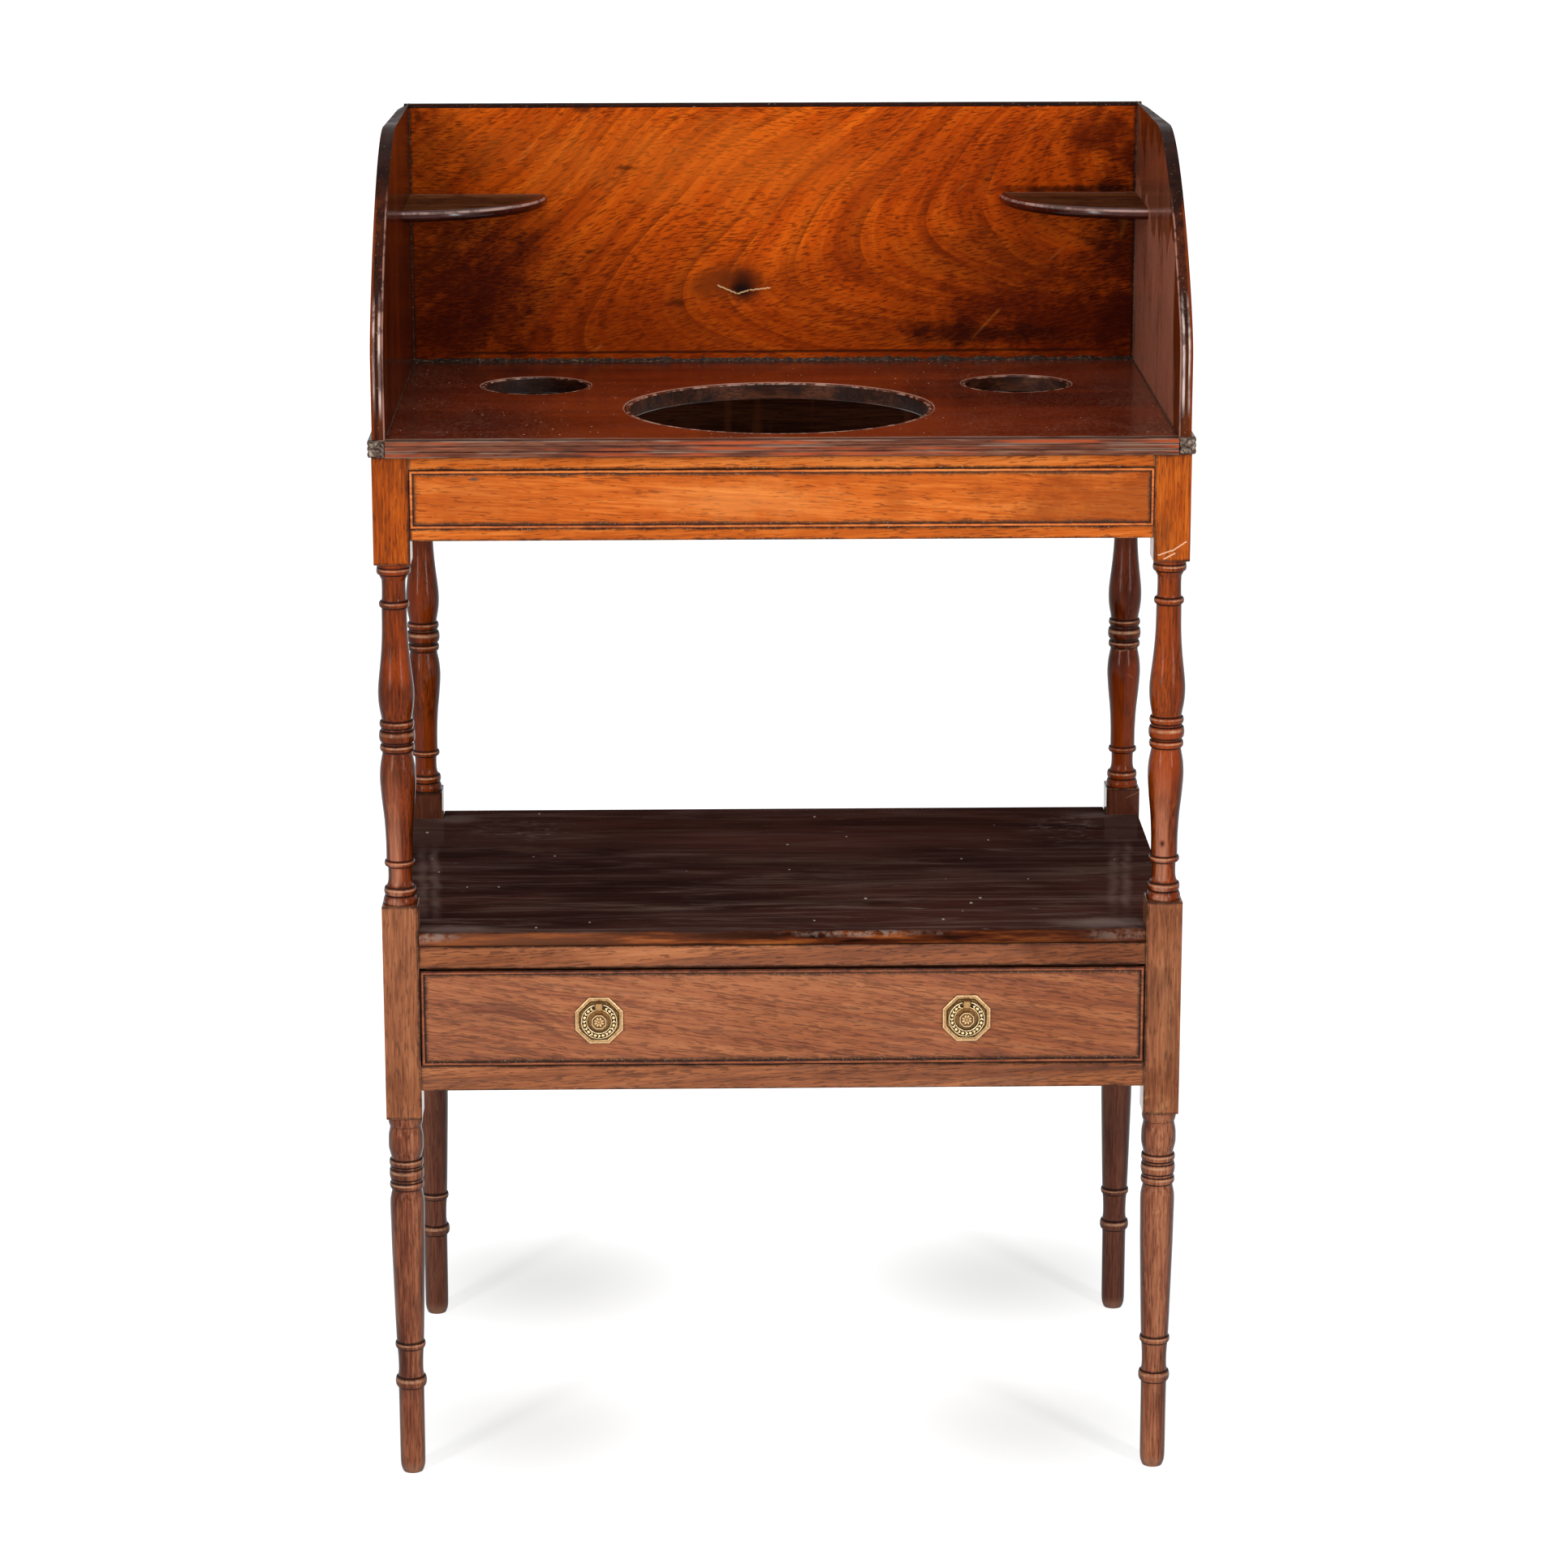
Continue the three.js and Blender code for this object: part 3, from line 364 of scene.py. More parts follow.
def scratches():
    """Fine straight scratches that come and go. They run along X of the place given."""
    w, given, result, tree = shader_group(
        "scratches", [("Place", "Vector", None), ("Count", "Float", 60.0)], ["Lines"])
    across = w.laid(given["Place"], scale=(0.06, 1, 0.3))
    field = w.noise(across, given["Count"], 1, 0.4)
    line = w.ranged(abs(field - 0.5), 0.0, 0.006, 1.0, 0.0)
    gaps = w.ranged(w.noise(w.laid(given["Place"], scale=(1, 3, 1)), 22, 2, 0.6), 0.56, 0.64)
    w.feed(result["Lines"], line * gaps)
    return tree


def soft_patch():
    """A patch with ragged borders, 1 at its centre and 0 outside its three half sizes."""
    w, given, result, tree = shader_group(
        "soft_patch",
        [("Place", "Vector", None), ("Centre", "Vector", None), ("Half Size", "Vector", None),
         ("Ragged", "Float", 0.5)],
        ["Patch"])
    away = w.vector("DIVIDE", w.vector("SUBTRACT", given["Place"], given["Centre"]), given["Half Size"])
    stir = w.noise(given["Place"], 42, 4, 0.65) - 0.5
    length = w.vector("LENGTH", away) + stir * (given["Ragged"] * 3.0)
    w.feed(result["Patch"], w.ranged(length, 0.15, 1.0, 1.0, 0.0))
    return tree


GROUPS = {make.__name__: make() for make in (mahogany_grain, edge_dirt, dust_specks, scratches, soft_patch)}


def use(w, name, **values):
    """The outputs of one of the shared groups."""
    labels = {key.replace("_", " ").title(): value for key, value in values.items()}
    return w.outs("ShaderNodeGroup", labels, node_tree=GROUPS[name])


# Wood finishes

FRONT_FACE = (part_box("drawer_front")[0].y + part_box("leg_front_left")[0].y) / 2
GALLERY_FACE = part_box("gallery_back")[0].y
TOP_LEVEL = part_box("top_board")[1].z
UNDERTIER_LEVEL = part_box("undertier_board")[1].z
NOSE_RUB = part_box("undertier_board")[0].y + 5.75 * MM  # where the polish of the nose starts to be rubbed
LOWER_BLOCK = (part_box("case_apron_left")[0].z - 23.5 * MM, UNDERTIER_LEVEL + 22.5 * MM)
UPPER_BLOCK = (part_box("frieze_apron_left")[0].z - 18.5 * MM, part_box("leg_front_left")[1].z)
# the colour of the shade painted where a surface is seen edge-on
EDGE_ON_SHADE = "170804"
CRUMBS = "b89c7e"
ALONG = {"X": (0, 0, 0), "Y": (0, 0, -90), "Z": (0, 90, 0)}


class Finish:
    """One material: colour, roughness and height are built up, then wired to the surface."""

    def __init__(self, name):
        self.material = bpy.data.materials.new(name)
        self.w = cleared(self.material)
        where = self.w.outs("ShaderNodeTexCoord")
        self.place, self.normal = where["Object"], where["Normal"]
        self.colour = self.rough = self.height = None

    def attribute(self, name):
        return self.w.out("ShaderNodeAttribute", attribute_name=name, label="Fac")

    def stain(self, mask, colour, strength=1.0, how="MIX"):
        """Mixes a colour in where the mask is above 0."""
        share = mask * strength if strength != 1.0 else mask
        self.colour = self.w.mixed(share, self.colour, colour, how)

    def dull(self, mask, roughness):
        """Brings the roughness towards a value where the mask is above 0."""
        self.rough = self.w.ranged(mask, 0.0, 1.0, self.rough, roughness)

    def area(self, centre, half, ragged=0.5):
        """A soft patch with ragged borders."""
        values = {"place": self.place, "centre": centre, "half_size": half, "ragged": ragged}
        return use(self.w, "soft_patch", **values)["Patch"]

    def patch(self, centre, half, colour, strength=1.0, ragged=0.5, through=None, how="MIX"):
        """A stained area. through: a field that the stain takes up unevenly."""
        made = self.area(centre, half, ragged)
        if through is not None:
            made = self.w.maths("MINIMUM", made * through, 1.0)
        self.stain(made, colour, strength, how)

    def patches(self, face, reach, rows, through=None, how="MIX"):
        """Patches on an upright face, each (x, z, half width, half height, colour, strength, ragged)."""
        for x, z, half_x, half_z, *rest in rows:
            colour, strength, ragged = rest + [1.0, 0.5][len(rest) - 1:]
            self.patch((x, face, z), (half_x, reach, half_z), colour, strength, ragged, through, how)

    def flat_patches(self, level, rows):
        """Patches on a flat top, each (x, y, half width, half depth, colour, strength)."""
        for x, y, half_x, half_y, colour, strength in rows:
            self.patch((x, y, level), (half_x, half_y, 0.1), colour, strength)

    def specks(self, count, share, place=None):
        """Scattered specks of dust."""
        return use(self.w, "dust_specks", place=place or self.place, count=count, share=share)["Specks"]

    def scratches(self, count, turn):
        """Fine scratches, turned."""
        return use(self.w, "scratches", place=self.w.laid(self.place, turn=turn), count=count)["Lines"]

    def hairline(self, start, end, width, colour, strength=1.0, wobble=0.0):
        """A thin line between two (x, z) places, seen from the front."""
        w = self.w
        length = math.hypot(end[0] - start[0], end[1] - start[1])
        across, rise = (end[0] - start[0]) / length, (end[1] - start[1]) / length
        from_start = w.vector("SUBTRACT", self.place, (start[0], 0.0, start[1]))
        along = w.vector("DOT_PRODUCT", from_start, (across, 0.0, rise))
        off = w.vector("DOT_PRODUCT", from_start, (-rise, 0.0, across))
        bends = w.noise(w.joined(along, 0.0, 0.0), 2.6 / max(length / 3, 0.004), 2, 0.6) - 0.5
        off = abs(off + bends * (wobble * 2))
        line = w.ranged(off, width * 0.4, width, 1, 0)
        span = w.ranged(abs(along - length / 2), length * 0.42, length / 2, 1, 0)
        self.stain(line * span, colour, strength)

    def finished(self, specular=0.3, bump=0.1, depth=0.4 * MM, metallic=0.0, deep=0.0, edge_shade_where=1.0):
        """deep: how strongly shade is painted where the surface is seen edge-on, darkest at its outlines.
        edge_shade_where: where that painted shade goes.
        """
        w = self.w
        if deep:
            # painted shade: darker where the surface is seen edge-on
            facing = w.out("ShaderNodeLayerWeight", {"Blend": 0.5}, "Facing")
            self.stain(w.ranged(facing, 0.22, 0.9) * edge_shade_where, EDGE_ON_SHADE, deep)
        surface = w.node("ShaderNodeBsdfPrincipled")
        w.feed(surface.inputs["Base Color"], self.colour)
        w.feed(surface.inputs["Roughness"], self.rough)
        surface.inputs["Metallic"].default_value = metallic
        surface.inputs["Specular IOR Level"].default_value = specular
        if self.height is not None:
            raised = w.out("ShaderNodeBump", {"Strength": bump, "Distance": depth, "Height": self.height})
            w.feed(surface.inputs["Normal"], raised)
        w.node("ShaderNodeOutputMaterial", {"Surface": Field(w, surface.outputs[0])})
        return self.material


def mahogany(name, dark, mid, light, along="X", turn=0.0, streaks=60.0, pores=0.4, pore_tone="2a0f06",
             roughness=(0.32, 0.5), pore_strength=0.6, fibre_share=0.35):
    """The wood itself: tones along the grain, fibres and pores."""
    finish = Finish(name)
    w = finish.w
    lay = w.laid(finish.place, turn=ALONG[along])
    if turn:
        lay = w.laid(lay, turn=(0, turn, 0))
    grain = use(w, "mahogany_grain", place=lay, streaks=streaks, pore_share=pores)
    drift = w.ranged(w.noise(w.laid(lay, scale=(3, 9, 9)), 1, 2, 0.5), 0.35, 0.65)
    finer = grain["Fibre"] * fibre_share + drift * (0.3 - fibre_share * 0.5)
    level = grain["Figure"] * (0.7 - fibre_share * 0.5) + finer
    finish.colour = w.ramp(level, [(0.18, dark), (0.5, mid), (0.82, light)])
    finish.stain(grain["Pores"], pore_tone, pore_strength)
    cloud = w.noise(finish.place, 30, 3, 0.6)
    finish.rough = w.ranged(cloud, 0.3, 0.7, *roughness)
    finish.height = grain["Height"]
    finish.lay, finish.grain, finish.cloud = lay, grain, cloud
    return finish


def dirty_edges(finish, width, colour, strength=0.8, wear=None, wear_strength=0.6, flecks=0.0):
    """Dirt along a board's borders, with pale crumbs in it and rubbed edges where asked for."""
    w = finish.w
    dirt = use(w, "edge_dirt", width=width)
    finish.stain(dirt["Dirt"], colour, strength)
    if flecks:
        crumbs = w.ranged(w.noise(finish.place, 650, 2, 0.6), 0.6, 0.68)
        finish.stain(dirt["Dirt"] * dirt["Dirt"] * crumbs, CRUMBS, flecks)
    if wear:
        finish.stain(dirt["Wear"], wear, wear_strength)


def frieze_wood():
    """The rails over and under the false drawer panel."""
    finish = mahogany("frieze_rail_wood", "a64a12", "c5601b", "de7c34", streaks=55, pores=0.42,
                      pore_tone="5a230a", roughness=(0.34, 0.5), turn=2.5)
    dirty_edges(finish, 2.4 * MM, "22110a", 0.92, "f09a5a", 0.2, 0.7)
    finish.patches(FRONT_FACE, 0.02, [(0.15, 0.8213, 0.16, 0.0028, "080403", 0.95, 0.2)])
    return finish.finished(specular=0.12, bump=0.25)


def frieze_panel_wood():
    """The false drawer panel."""
    finish = mahogany("frieze_panel_wood", "aa4a14", "c8611c", "e28036", streaks=42, pores=0.4,
                      pore_tone="5a230a", roughness=(0.32, 0.48), turn=-3)
    finish.patches(FRONT_FACE, 0.05, [
        (-0.24, 0.786, 0.09, 0.03, "9c4412", 0.45), (0.26, 0.78, 0.14, 0.05, "8c3c0d", 0.75),
        (0.085, 0.785, 0.018, 0.03, "a04812", 0.5), (-0.03, 0.785, 0.1, 0.02, "f09c54", 0.3)])
    finish.patches(FRONT_FACE, 0.01, [(-0.232, 0.8035, 0.006, 0.003, "5a4436", 0.9, 0.3)])
    dirty_edges(finish, 3.2 * MM, "3a2a1e", 0.9, flecks=0.4)
    return finish.finished(specular=0.12, bump=0.25)


def bead_wood(name, deep, flank, crest):
    """A cockbead: rubbed bright on its crest and dark along its sides."""
    finish = mahogany(name, deep, flank, crest, streaks=120, pores=0.35, roughness=(0.3, 0.45))
    rise = finish.attribute("quirk")
    w = finish.w
    ragged = w.stirred(rise, finish.place, 130, 3, 0.6, 0.7)
    finish.stain(w.ranged(ragged, 0.22, 0.62), "1c0e09", 0.95)
    finish.stain(w.ranged(ragged, 0.2, 0.0), crest, 0.6)
    crumbs = w.ranged(w.noise(finish.place, 600, 2, 0.6), 0.62, 0.7)
    finish.stain(crumbs * w.ranged(ragged, 0.3, 0.8), CRUMBS, 0.6)
    return finish.finished(specular=0.2, bump=0.2)


def drawer_rail_wood():
    """The rails over and under the drawer, duller and greyer than the frieze."""
    finish = mahogany("drawer_rail_wood", "7e4a32", "a0603d", "bc784e", streaks=110, pores=0.5, turn=3,
                      pore_tone="3f241b", roughness=(0.45, 0.6), pore_strength=0.55, fibre_share=0.3)
    grey_streaks(finish)
    greyer = ((0.25, 0.428, "bfb3aa"), (-0.24, 0.428, "d8cfc8"), (0.25, 0.331, "dcd4ce"))
    finish.patches(FRONT_FACE, 0.05, [(x, z, 0.12, 0.03, colour) for x, z, colour in greyer], how="MULTIPLY")
    dirty_edges(finish, 2.0 * MM, "24140d", 0.88, "c88a64", 0.2)
    return finish.finished(specular=0.14, bump=0.3)


def grey_streaks(finish, strength=0.5):
    """Grey weathered streaks that follow the grain."""
    w = finish.w
    field = w.noise(w.laid(finish.lay, shift=(2, 3, 5), scale=(6, 150, 150)), 1, 3, 0.6, 0.8)
    finish.stain(w.ranged(field, 0.5, 0.66), "644438", strength)


def drawer_front_wood():
    """The drawer front, with arched figure round its left handle."""
    finish = mahogany("drawer_front_wood", "8a5039", "a56341", "b5734d", streaks=150, pores=0.55, turn=-8,
                      pore_tone="3b2119", roughness=(0.42, 0.58), pore_strength=0.45, fibre_share=0.42)
    grey_streaks(finish, 0.3)
    w = finish.w
    x, _, z = w.parts(w.laid(finish.place, shift=(0.235, 0, -0.345), scale=(1, 0, 1)))
    rings = w.noise(w.joined(x * 9, 0.0, (z + x * x * 5.5) * 210), 1, 2, 0.55)
    near = finish.area((-0.215, FRONT_FACE, 0.375), (0.085, 0.05, 0.05), 0.3)
    finish.stain(near * w.ranged(rings, 0.45, 0.62), "5c3427", 0.6)
    finish.patches(FRONT_FACE, 0.05,
                   [(0.22, 0.375, 0.13, 0.06, "e9e0d8"), (0.02, 0.37, 0.12, 0.05, "f0eae4")],
                   how="MULTIPLY")
    dirty_edges(finish, 3.4 * MM, "38261d", 0.88, flecks=0.5)
    return finish.finished(specular=0.14, bump=0.3)


def block_tones(finish, figure, height):
    """The blocks at the frieze and the drawer and the foot differ from the vase-shaped turnings."""
    w = finish.w
    pores = finish.grain["Pores"] * 0.45
    upper, lower = w.above(height, UPPER_BLOCK[0]), w.below(height, LOWER_BLOCK[1])
    foot = w.below(height, LOWER_BLOCK[0])
    for zone, dark, mid, light, pore_tone in ((upper, "863808", "a84a0c", "c2621a", "3a1507"),
                                              (lower, "824c32", "9c5f3d", "b47650", "40231a"),
                                              (foot, "65321f", "8f5339", "ac6f4e", "2c150f")):
        wood = w.ramp(figure, [(0.15, dark), (0.5, mid), (0.85, light)])
        finish.stain(zone, w.mixed(pores, wood, pore_tone))


def front_turning_highlight(finish, figure, height, turned):
    """A painted highlight down the fronts of the front turnings, a little left of their middles, strongest
    low down.
    """
    w = finish.w
    facing = w.ranged(w.vector("DOT_PRODUCT", finish.normal, (-0.3, -0.954, 0.0)), 0.8, 0.99)
    highlight_mask = facing * turned * w.ranged(w.parts(finish.place)[1], 0.0, -0.05)
    highlight_mask = highlight_mask * w.ranged(height, 0.64, 0.5, 0.3, 1.0) * w.ranged(figure, 0.1, 0.8, 0.6, 1.1)
    finish.stain(highlight_mask, w.mixed(w.ranged(height, 0.62, 0.5), "b4521c", "cf8e70"), 0.48)


def leg_grooves_edges_and_highlights(finish):
    """Dark in the grooves, a painted highlight on the rings' crests, dirt along the edges, and faint
    scratches.
    """
    w = finish.w
    quirk = finish.attribute("quirk")
    ragged = w.stirred(quirk, finish.place, 160, 3, 0.6, 0.5)
    finish.stain(w.ranged(ragged, 0.22, 0.8), "150a07", 0.88)
    uneven = w.ranged(w.noise(finish.place, 90, 2, 0.6), 0.36, 0.6, 0.3, 1.0)
    # painted highlight on the upper side of the rings' crests, where quirk is below 0
    finish.stain(w.ranged(quirk, -0.25, -0.9) * uneven, "cf9c78", 0.62)
    dirty_edges(finish, 3.0 * MM, "24120b", 0.9, "c98a5e", 0.3)
    finish.stain(finish.scratches(48.0, (0, 25, 0)), "d79a66", 0.22)
    finish.dull(w.ranged(ragged, 0.3, 0.9), 0.6)


LEG_SCRATCHES = [  # start and end on the right frieze block
    ((0.284, 0.7425), (0.2955, 0.7465)),
    ((0.2945, 0.7455), (0.3065, 0.7535)),
    ((0.2885, 0.7395), (0.298, 0.7445)),
]


def leg_wood():
    """Grain up the post: red-brown turnings, an orange block at the frieze and a duller one at the drawer."""
    finish = mahogany("leg_wood", "451605", "752e08", "9e440e", along="Z", streaks=70, pores=0.45,
                      pore_tone="260d06", roughness=(0.12, 0.2), fibre_share=0.35)
    w = finish.w
    figure = finish.grain["Figure"] * 0.5 + finish.grain["Fibre"] * 0.5
    _, y, height = w.parts(finish.place)
    block_tones(finish, figure, height)
    turned = w.above(height, LOWER_BLOCK[1]) * w.below(height, UPPER_BLOCK[0])
    glow = w.noise(w.laid(finish.place, shift=(3, 1, 0), scale=(1, 1, 0.45)), 30, 2, 0.5)
    finish.stain(w.ranged(glow, 0.45, 0.68) * turned, "a6400e", 0.5)
    shade = w.noise(w.laid(finish.place, scale=(1, 1, 0.3)), 38, 3, 0.6)
    finish.stain(w.ranged(shade, 0.52, 0.72), "32130a", 0.6)
    # painted shade on the rear legs: some on their turnings, more low down under the case
    rear = w.ranged(y, 0.0, 0.1)
    finish.stain(rear * turned, "3a1409", 0.34)
    rear_low_shade = rear * w.below(height, LOWER_BLOCK[1])
    finish.stain(rear_low_shade, "42201a", 0.66)
    finish.stain(rear_low_shade * w.above(height, UNDERTIER_LEVEL), "3a1510", 0.6)
    finish.stain(w.ranged(height, 0.012, 0.0), "a07a62", 0.5)
    worn = ((0.295, 0.32, "d5cac2"), (0.295, 0.452, "e2dad4"), (-0.295, 0.322, "e6dfda"))
    finish.patches(FRONT_FACE, 0.05, [(x, z, 0.03, 0.032, colour) for x, z, colour in worn], how="MULTIPLY")
    # painted highlight on the front turnings
    front_turning_highlight(finish, figure, height, turned)
    finish.patches(FRONT_FACE, 0.02, [  # a knot and a dark stain on the front right leg
        (0.2925, 0.5155, 0.0044, 0.0058, "9a5236", 0.7, 0.15),
        (0.2925, 0.5155, 0.0028, 0.0040, "30130a", 0.95, 0.15),
        (0.301, 0.5395, 0.0022, 0.007, "2a0f08", 0.7, 0.2)])
    leg_grooves_edges_and_highlights(finish)
    for start, end in LEG_SCRATCHES:
        finish.hairline(start, end, 0.7 * MM, "f0c09c", 0.8, 0.8 * MM)
    round_parts = w.maths("MAXIMUM", turned, w.below(height, LOWER_BLOCK[0], 0.3))
    # deep: painted shade where the turnings and feet are seen edge-on
    return finish.finished(specular=0.1, bump=0.12, deep=0.95, edge_shade_where=round_parts)


def side_wood():
    """Aprons at the sides and the back, seen from outside."""
    finish = mahogany("side_wood", "57250f", "7b3a1a", "93502a", along="Y", streaks=60, pores=0.45,
                      roughness=(0.36, 0.55))
    dirty_edges(finish, 2 * MM, "26120b", 0.75, "a8643a", 0.3)
    return finish.finished(specular=0.2, bump=0.25)


def rear_wood():
    """The unpolished wood at the back, seen from behind."""
    finish = mahogany("rear_wood", "4f2a18", "6e3f26", "84523a", streaks=60, pores=0.45, roughness=(0.5, 0.7))
    dirty_edges(finish, 2 * MM, "26120b", 0.7)
    return finish.finished(specular=0.15, bump=0.3)


def inner_wood():
    """Old unpolished wood inside the frieze and the case."""
    finish = mahogany("inner_wood", "200e09", "31180f", "472718", streaks=30, pores=0.3, pore_tone="120805",
                      roughness=(0.6, 0.8))
    w = finish.w
    drips = w.ranged(w.noise(w.laid(finish.place, scale=(70, 70, 5)), 1, 2, 0.5), 0.56, 0.72)
    finish.stain(drips, "5a301a", 0.6)
    return finish.finished(specular=0.0, bump=0.3)


def lining_wood():
    """The paler wood of the drawer's lining."""
    finish = mahogany("lining_wood", "7c5a38", "9a744a", "b08a5c", along="Y", streaks=50, pores=0.25,
                      pore_tone="5d4025", roughness=(0.55, 0.75), pore_strength=0.35)
    w = finish.w
    finish.stain(w.ranged(finish.cloud, 0.5, 0.75), "6b4b2f", 0.5)
    return finish.finished(specular=0.15, bump=0.3)


KNOT = Vector((-0.0260, GALLERY_FACE, 0.8975))
FIGURE_TILT, FIGURE_OPENING, FIGURE_APEX = 17.0, 0.36, 0.07
FIGURE_BAND = 19 * MM


def figure_round_knot(finish, stirred):
    """Nested curves that open to the right round the knot. Returns their finer lines."""
    w = finish.w
    centred = w.vector("SUBTRACT", stirred, tuple(KNOT))
    along, _, across = w.parts(w.laid(centred, turn=(0, FIGURE_TILT, 0)))
    bent = w.maths("SQRT", across * across + FIGURE_APEX ** 2)
    ring = bent - along * FIGURE_OPENING
    runs = along * across / bent + across * FIGURE_OPENING

    def along_figure(count, length_count, layer, detail=2, rough=0.5):
        return w.noise(w.joined(ring * count, runs * length_count, layer), 1, detail, rough)

    lines = along_figure(150, 4.0, 0.0, 3)
    fine = along_figure(520, 9.0, 7.0)
    bands = along_figure(42, 2.4, 3.0)
    line_share, band_share, fine_share = (w.ranged(field, 0.3, 0.7) for field in (lines, bands, fine))
    level = line_share * 0.42 + band_share * 0.33 + fine_share * 0.25
    finish.colour = w.ramp(level, [(0.12, "a43d05"), (0.48, "c85007"), (0.88, "e06812")])
    count = ring / FIGURE_BAND + along_figure(30, 2.0, 11.0, 1) * 2.2
    broken = w.ranged(along_figure(60, 12.0, 5.0, 3, 0.6), 0.35, 0.6, 0.45, 1.0)
    nested = w.ranged(w.maths("FRACT", count), 0.0, 0.6, 1, 0) ** 2.0 * broken
    from_knot = w.vector("SUBTRACT", finish.place, tuple(KNOT))
    round_knot = w.vector("LENGTH", w.vector("MULTIPLY", from_knot, (3.0, 0.0, 6.5)))
    finish.stain(nested * w.ranged(round_knot, 0.4, 1.7, 1, 0.4), "6e2603", 0.6)
    return lines


def slanting_pores(finish, stirred):
    """Short dark pores. Returns them, and how much stain the wood takes up."""
    w = finish.w
    slope = w.laid(stirred, turn=(0, 9, 0))
    dashes = w.noise(w.laid(slope, scale=(120, 1, 860)), 1, 1, 0.5)
    crowd = w.noise(w.laid(slope, scale=(14, 1, 60)), 1, 3, 0.55)
    pores = w.ranged(dashes + crowd * 0.3, 0.69, 0.78)
    finish.stain(pores, "4a1602", 0.62)
    flecks = w.noise(w.laid(slope, scale=(110, 1, 560)), 1, 3, 0.65)
    finish.stain(w.ranged(flecks, 0.46, 0.74), "6f2603", 0.34)
    return pores, w.ranged(flecks, 0.38, 0.62, 0.8, 1.06) + pores * 0.35


SOAKED_STAINS = [  # x, z, half width, half height, colour, strength, ragged
    (-0.262, 0.9, 0.13, 0.075, "460f02", 0.92, 0.34),
    (-0.27, 0.855, 0.1, 0.04, "3c0b01", 0.8, 0.48),
    (-0.285, 0.985, 0.06, 0.12, "5a1c02", 0.68, 0.53),
    (0.25, 0.868, 0.19, 0.05, "4a1001", 0.9, 0.48),
    (0.17, 0.856, 0.13, 0.012, "240904", 0.7, 0.58),
    (0.3, 0.93, 0.07, 0.15, "3d0d02", 0.95, 0.45),
    (0.265, 1.02, 0.05, 0.03, "5a1903", 0.7, 0.60),
    (0.17, 0.92, 0.1, 0.035, "6a2203", 0.6, 0.60),
]
SMALL_STAINS = [  # x, z, half width, half height
    (-0.157, 1.043, 0.012, 0.006), (-0.122, 0.994, 0.014, 0.0035), (-0.152, 0.925, 0.008, 0.004),
    (-0.262, 0.868, 0.006, 0.003), (-0.08, 0.883, 0.012, 0.005), (-0.29, 1.035, 0.006, 0.008),
]
KNOT_CRACK = [  # start and end, from the knot
    ((-0.021, 0.0), (-0.004, -0.0075)),
    ((-0.0045, -0.0075), (0.006, -0.0045)),
    ((0.0055, -0.0045), (0.024, -0.0025)),
]


def gallery_back_wood():
    """Figured board with a knot, darkened by damp low down and towards its ends."""
    finish = Finish("gallery_back_wood")
    w = finish.w
    flat = w.laid(finish.place, scale=(1, 0.2, 1))
    clouds = w.out("ShaderNodeTexNoise", {"Vector": flat, "Scale": 5.5, "Detail": 1.0, "Roughness": 0.5},
                   "Color")
    wander = w.vector("SUBTRACT", clouds, (0.5, 0.5, 0.5))
    stirred = w.vector("ADD", finish.place, w.vector("MULTIPLY", wander, (0.06, 0.0, 0.05)))
    lines = figure_round_knot(finish, stirred)
    pores, uptake = slanting_pores(finish, stirred)

    mottle = w.noise(w.laid(finish.place, scale=(1, 0.1, 1.6)), 11, 4, 0.6, 0.4)
    height = w.parts(finish.place)[2] + (mottle - 0.5) * 0.16
    low = w.ranged(height, TOP_LEVEL + 0.02, TOP_LEVEL + 0.105, 1, 0)
    finish.stain(w.maths("MINIMUM", low * uptake, 1.0), "6b1f02", 0.66)
    finish.patches(GALLERY_FACE, 0.1, SOAKED_STAINS, uptake)
    finish.patches(GALLERY_FACE, 0.1, [(0.24, 0.9755, 0.1, 0.005, "1c0904", 0.8, 0.6),
                                       (-0.05, 1.0, 0.26, 0.05, "d0691c", 0.35, 0.6)])
    finish.patches(GALLERY_FACE, 0.1, [(0.16, 0.995, 0.16, 0.07, "e8d6c4")], how="MULTIPLY")
    finish.patches(GALLERY_FACE, 0.1, [(-0.055, 0.9, 0.03, 0.016, "7a3306", 0.6, 0.6)])
    finish.patches(GALLERY_FACE, 0.1, [(*row, "4a1a04", 0.8, 0.45) for row in SMALL_STAINS])
    finish.patches(GALLERY_FACE, 0.1, [(KNOT.x - 0.008, KNOT.z + 0.002, 0.042, 0.024, "6e2c08", 0.8, 0.3),
                                       (KNOT.x, KNOT.z, 0.019, 0.019, "3a1405", 0.9, 0.2),
                                       (KNOT.x, KNOT.z - 0.004, 0.013, 0.009, "120604", 0.95, 0.2)])
    finish.hairline((-0.28, 0.8415), (0.285, 0.8425), 1.6 * MM, "1c0a05", 0.75, 0.8 * MM)
    for start, end in KNOT_CRACK:
        places = [(KNOT.x + x, KNOT.z + z) for x, z in (start, end)]
        finish.hairline(*places, 0.75 * MM, "cfa97c", 0.95, 1.5 * MM)
    finish.stain(finish.scratches(26.0, (0, 52, 0)), "e08a3c", 0.2)
    finish.stain(finish.specks(95.0, 0.035, w.laid(finish.place, scale=(1, 0.01, 1))), "d9b48c", 0.5)
    dirty_edges(finish, 3.5 * MM, "1e0d07", 0.85)
    finish.rough = w.ranged(mottle, 0.3, 0.7, 0.3, 0.42)
    finish.height = lines * 0.2 - pores * 0.5
    return finish.finished(specular=0.05, bump=0.15)


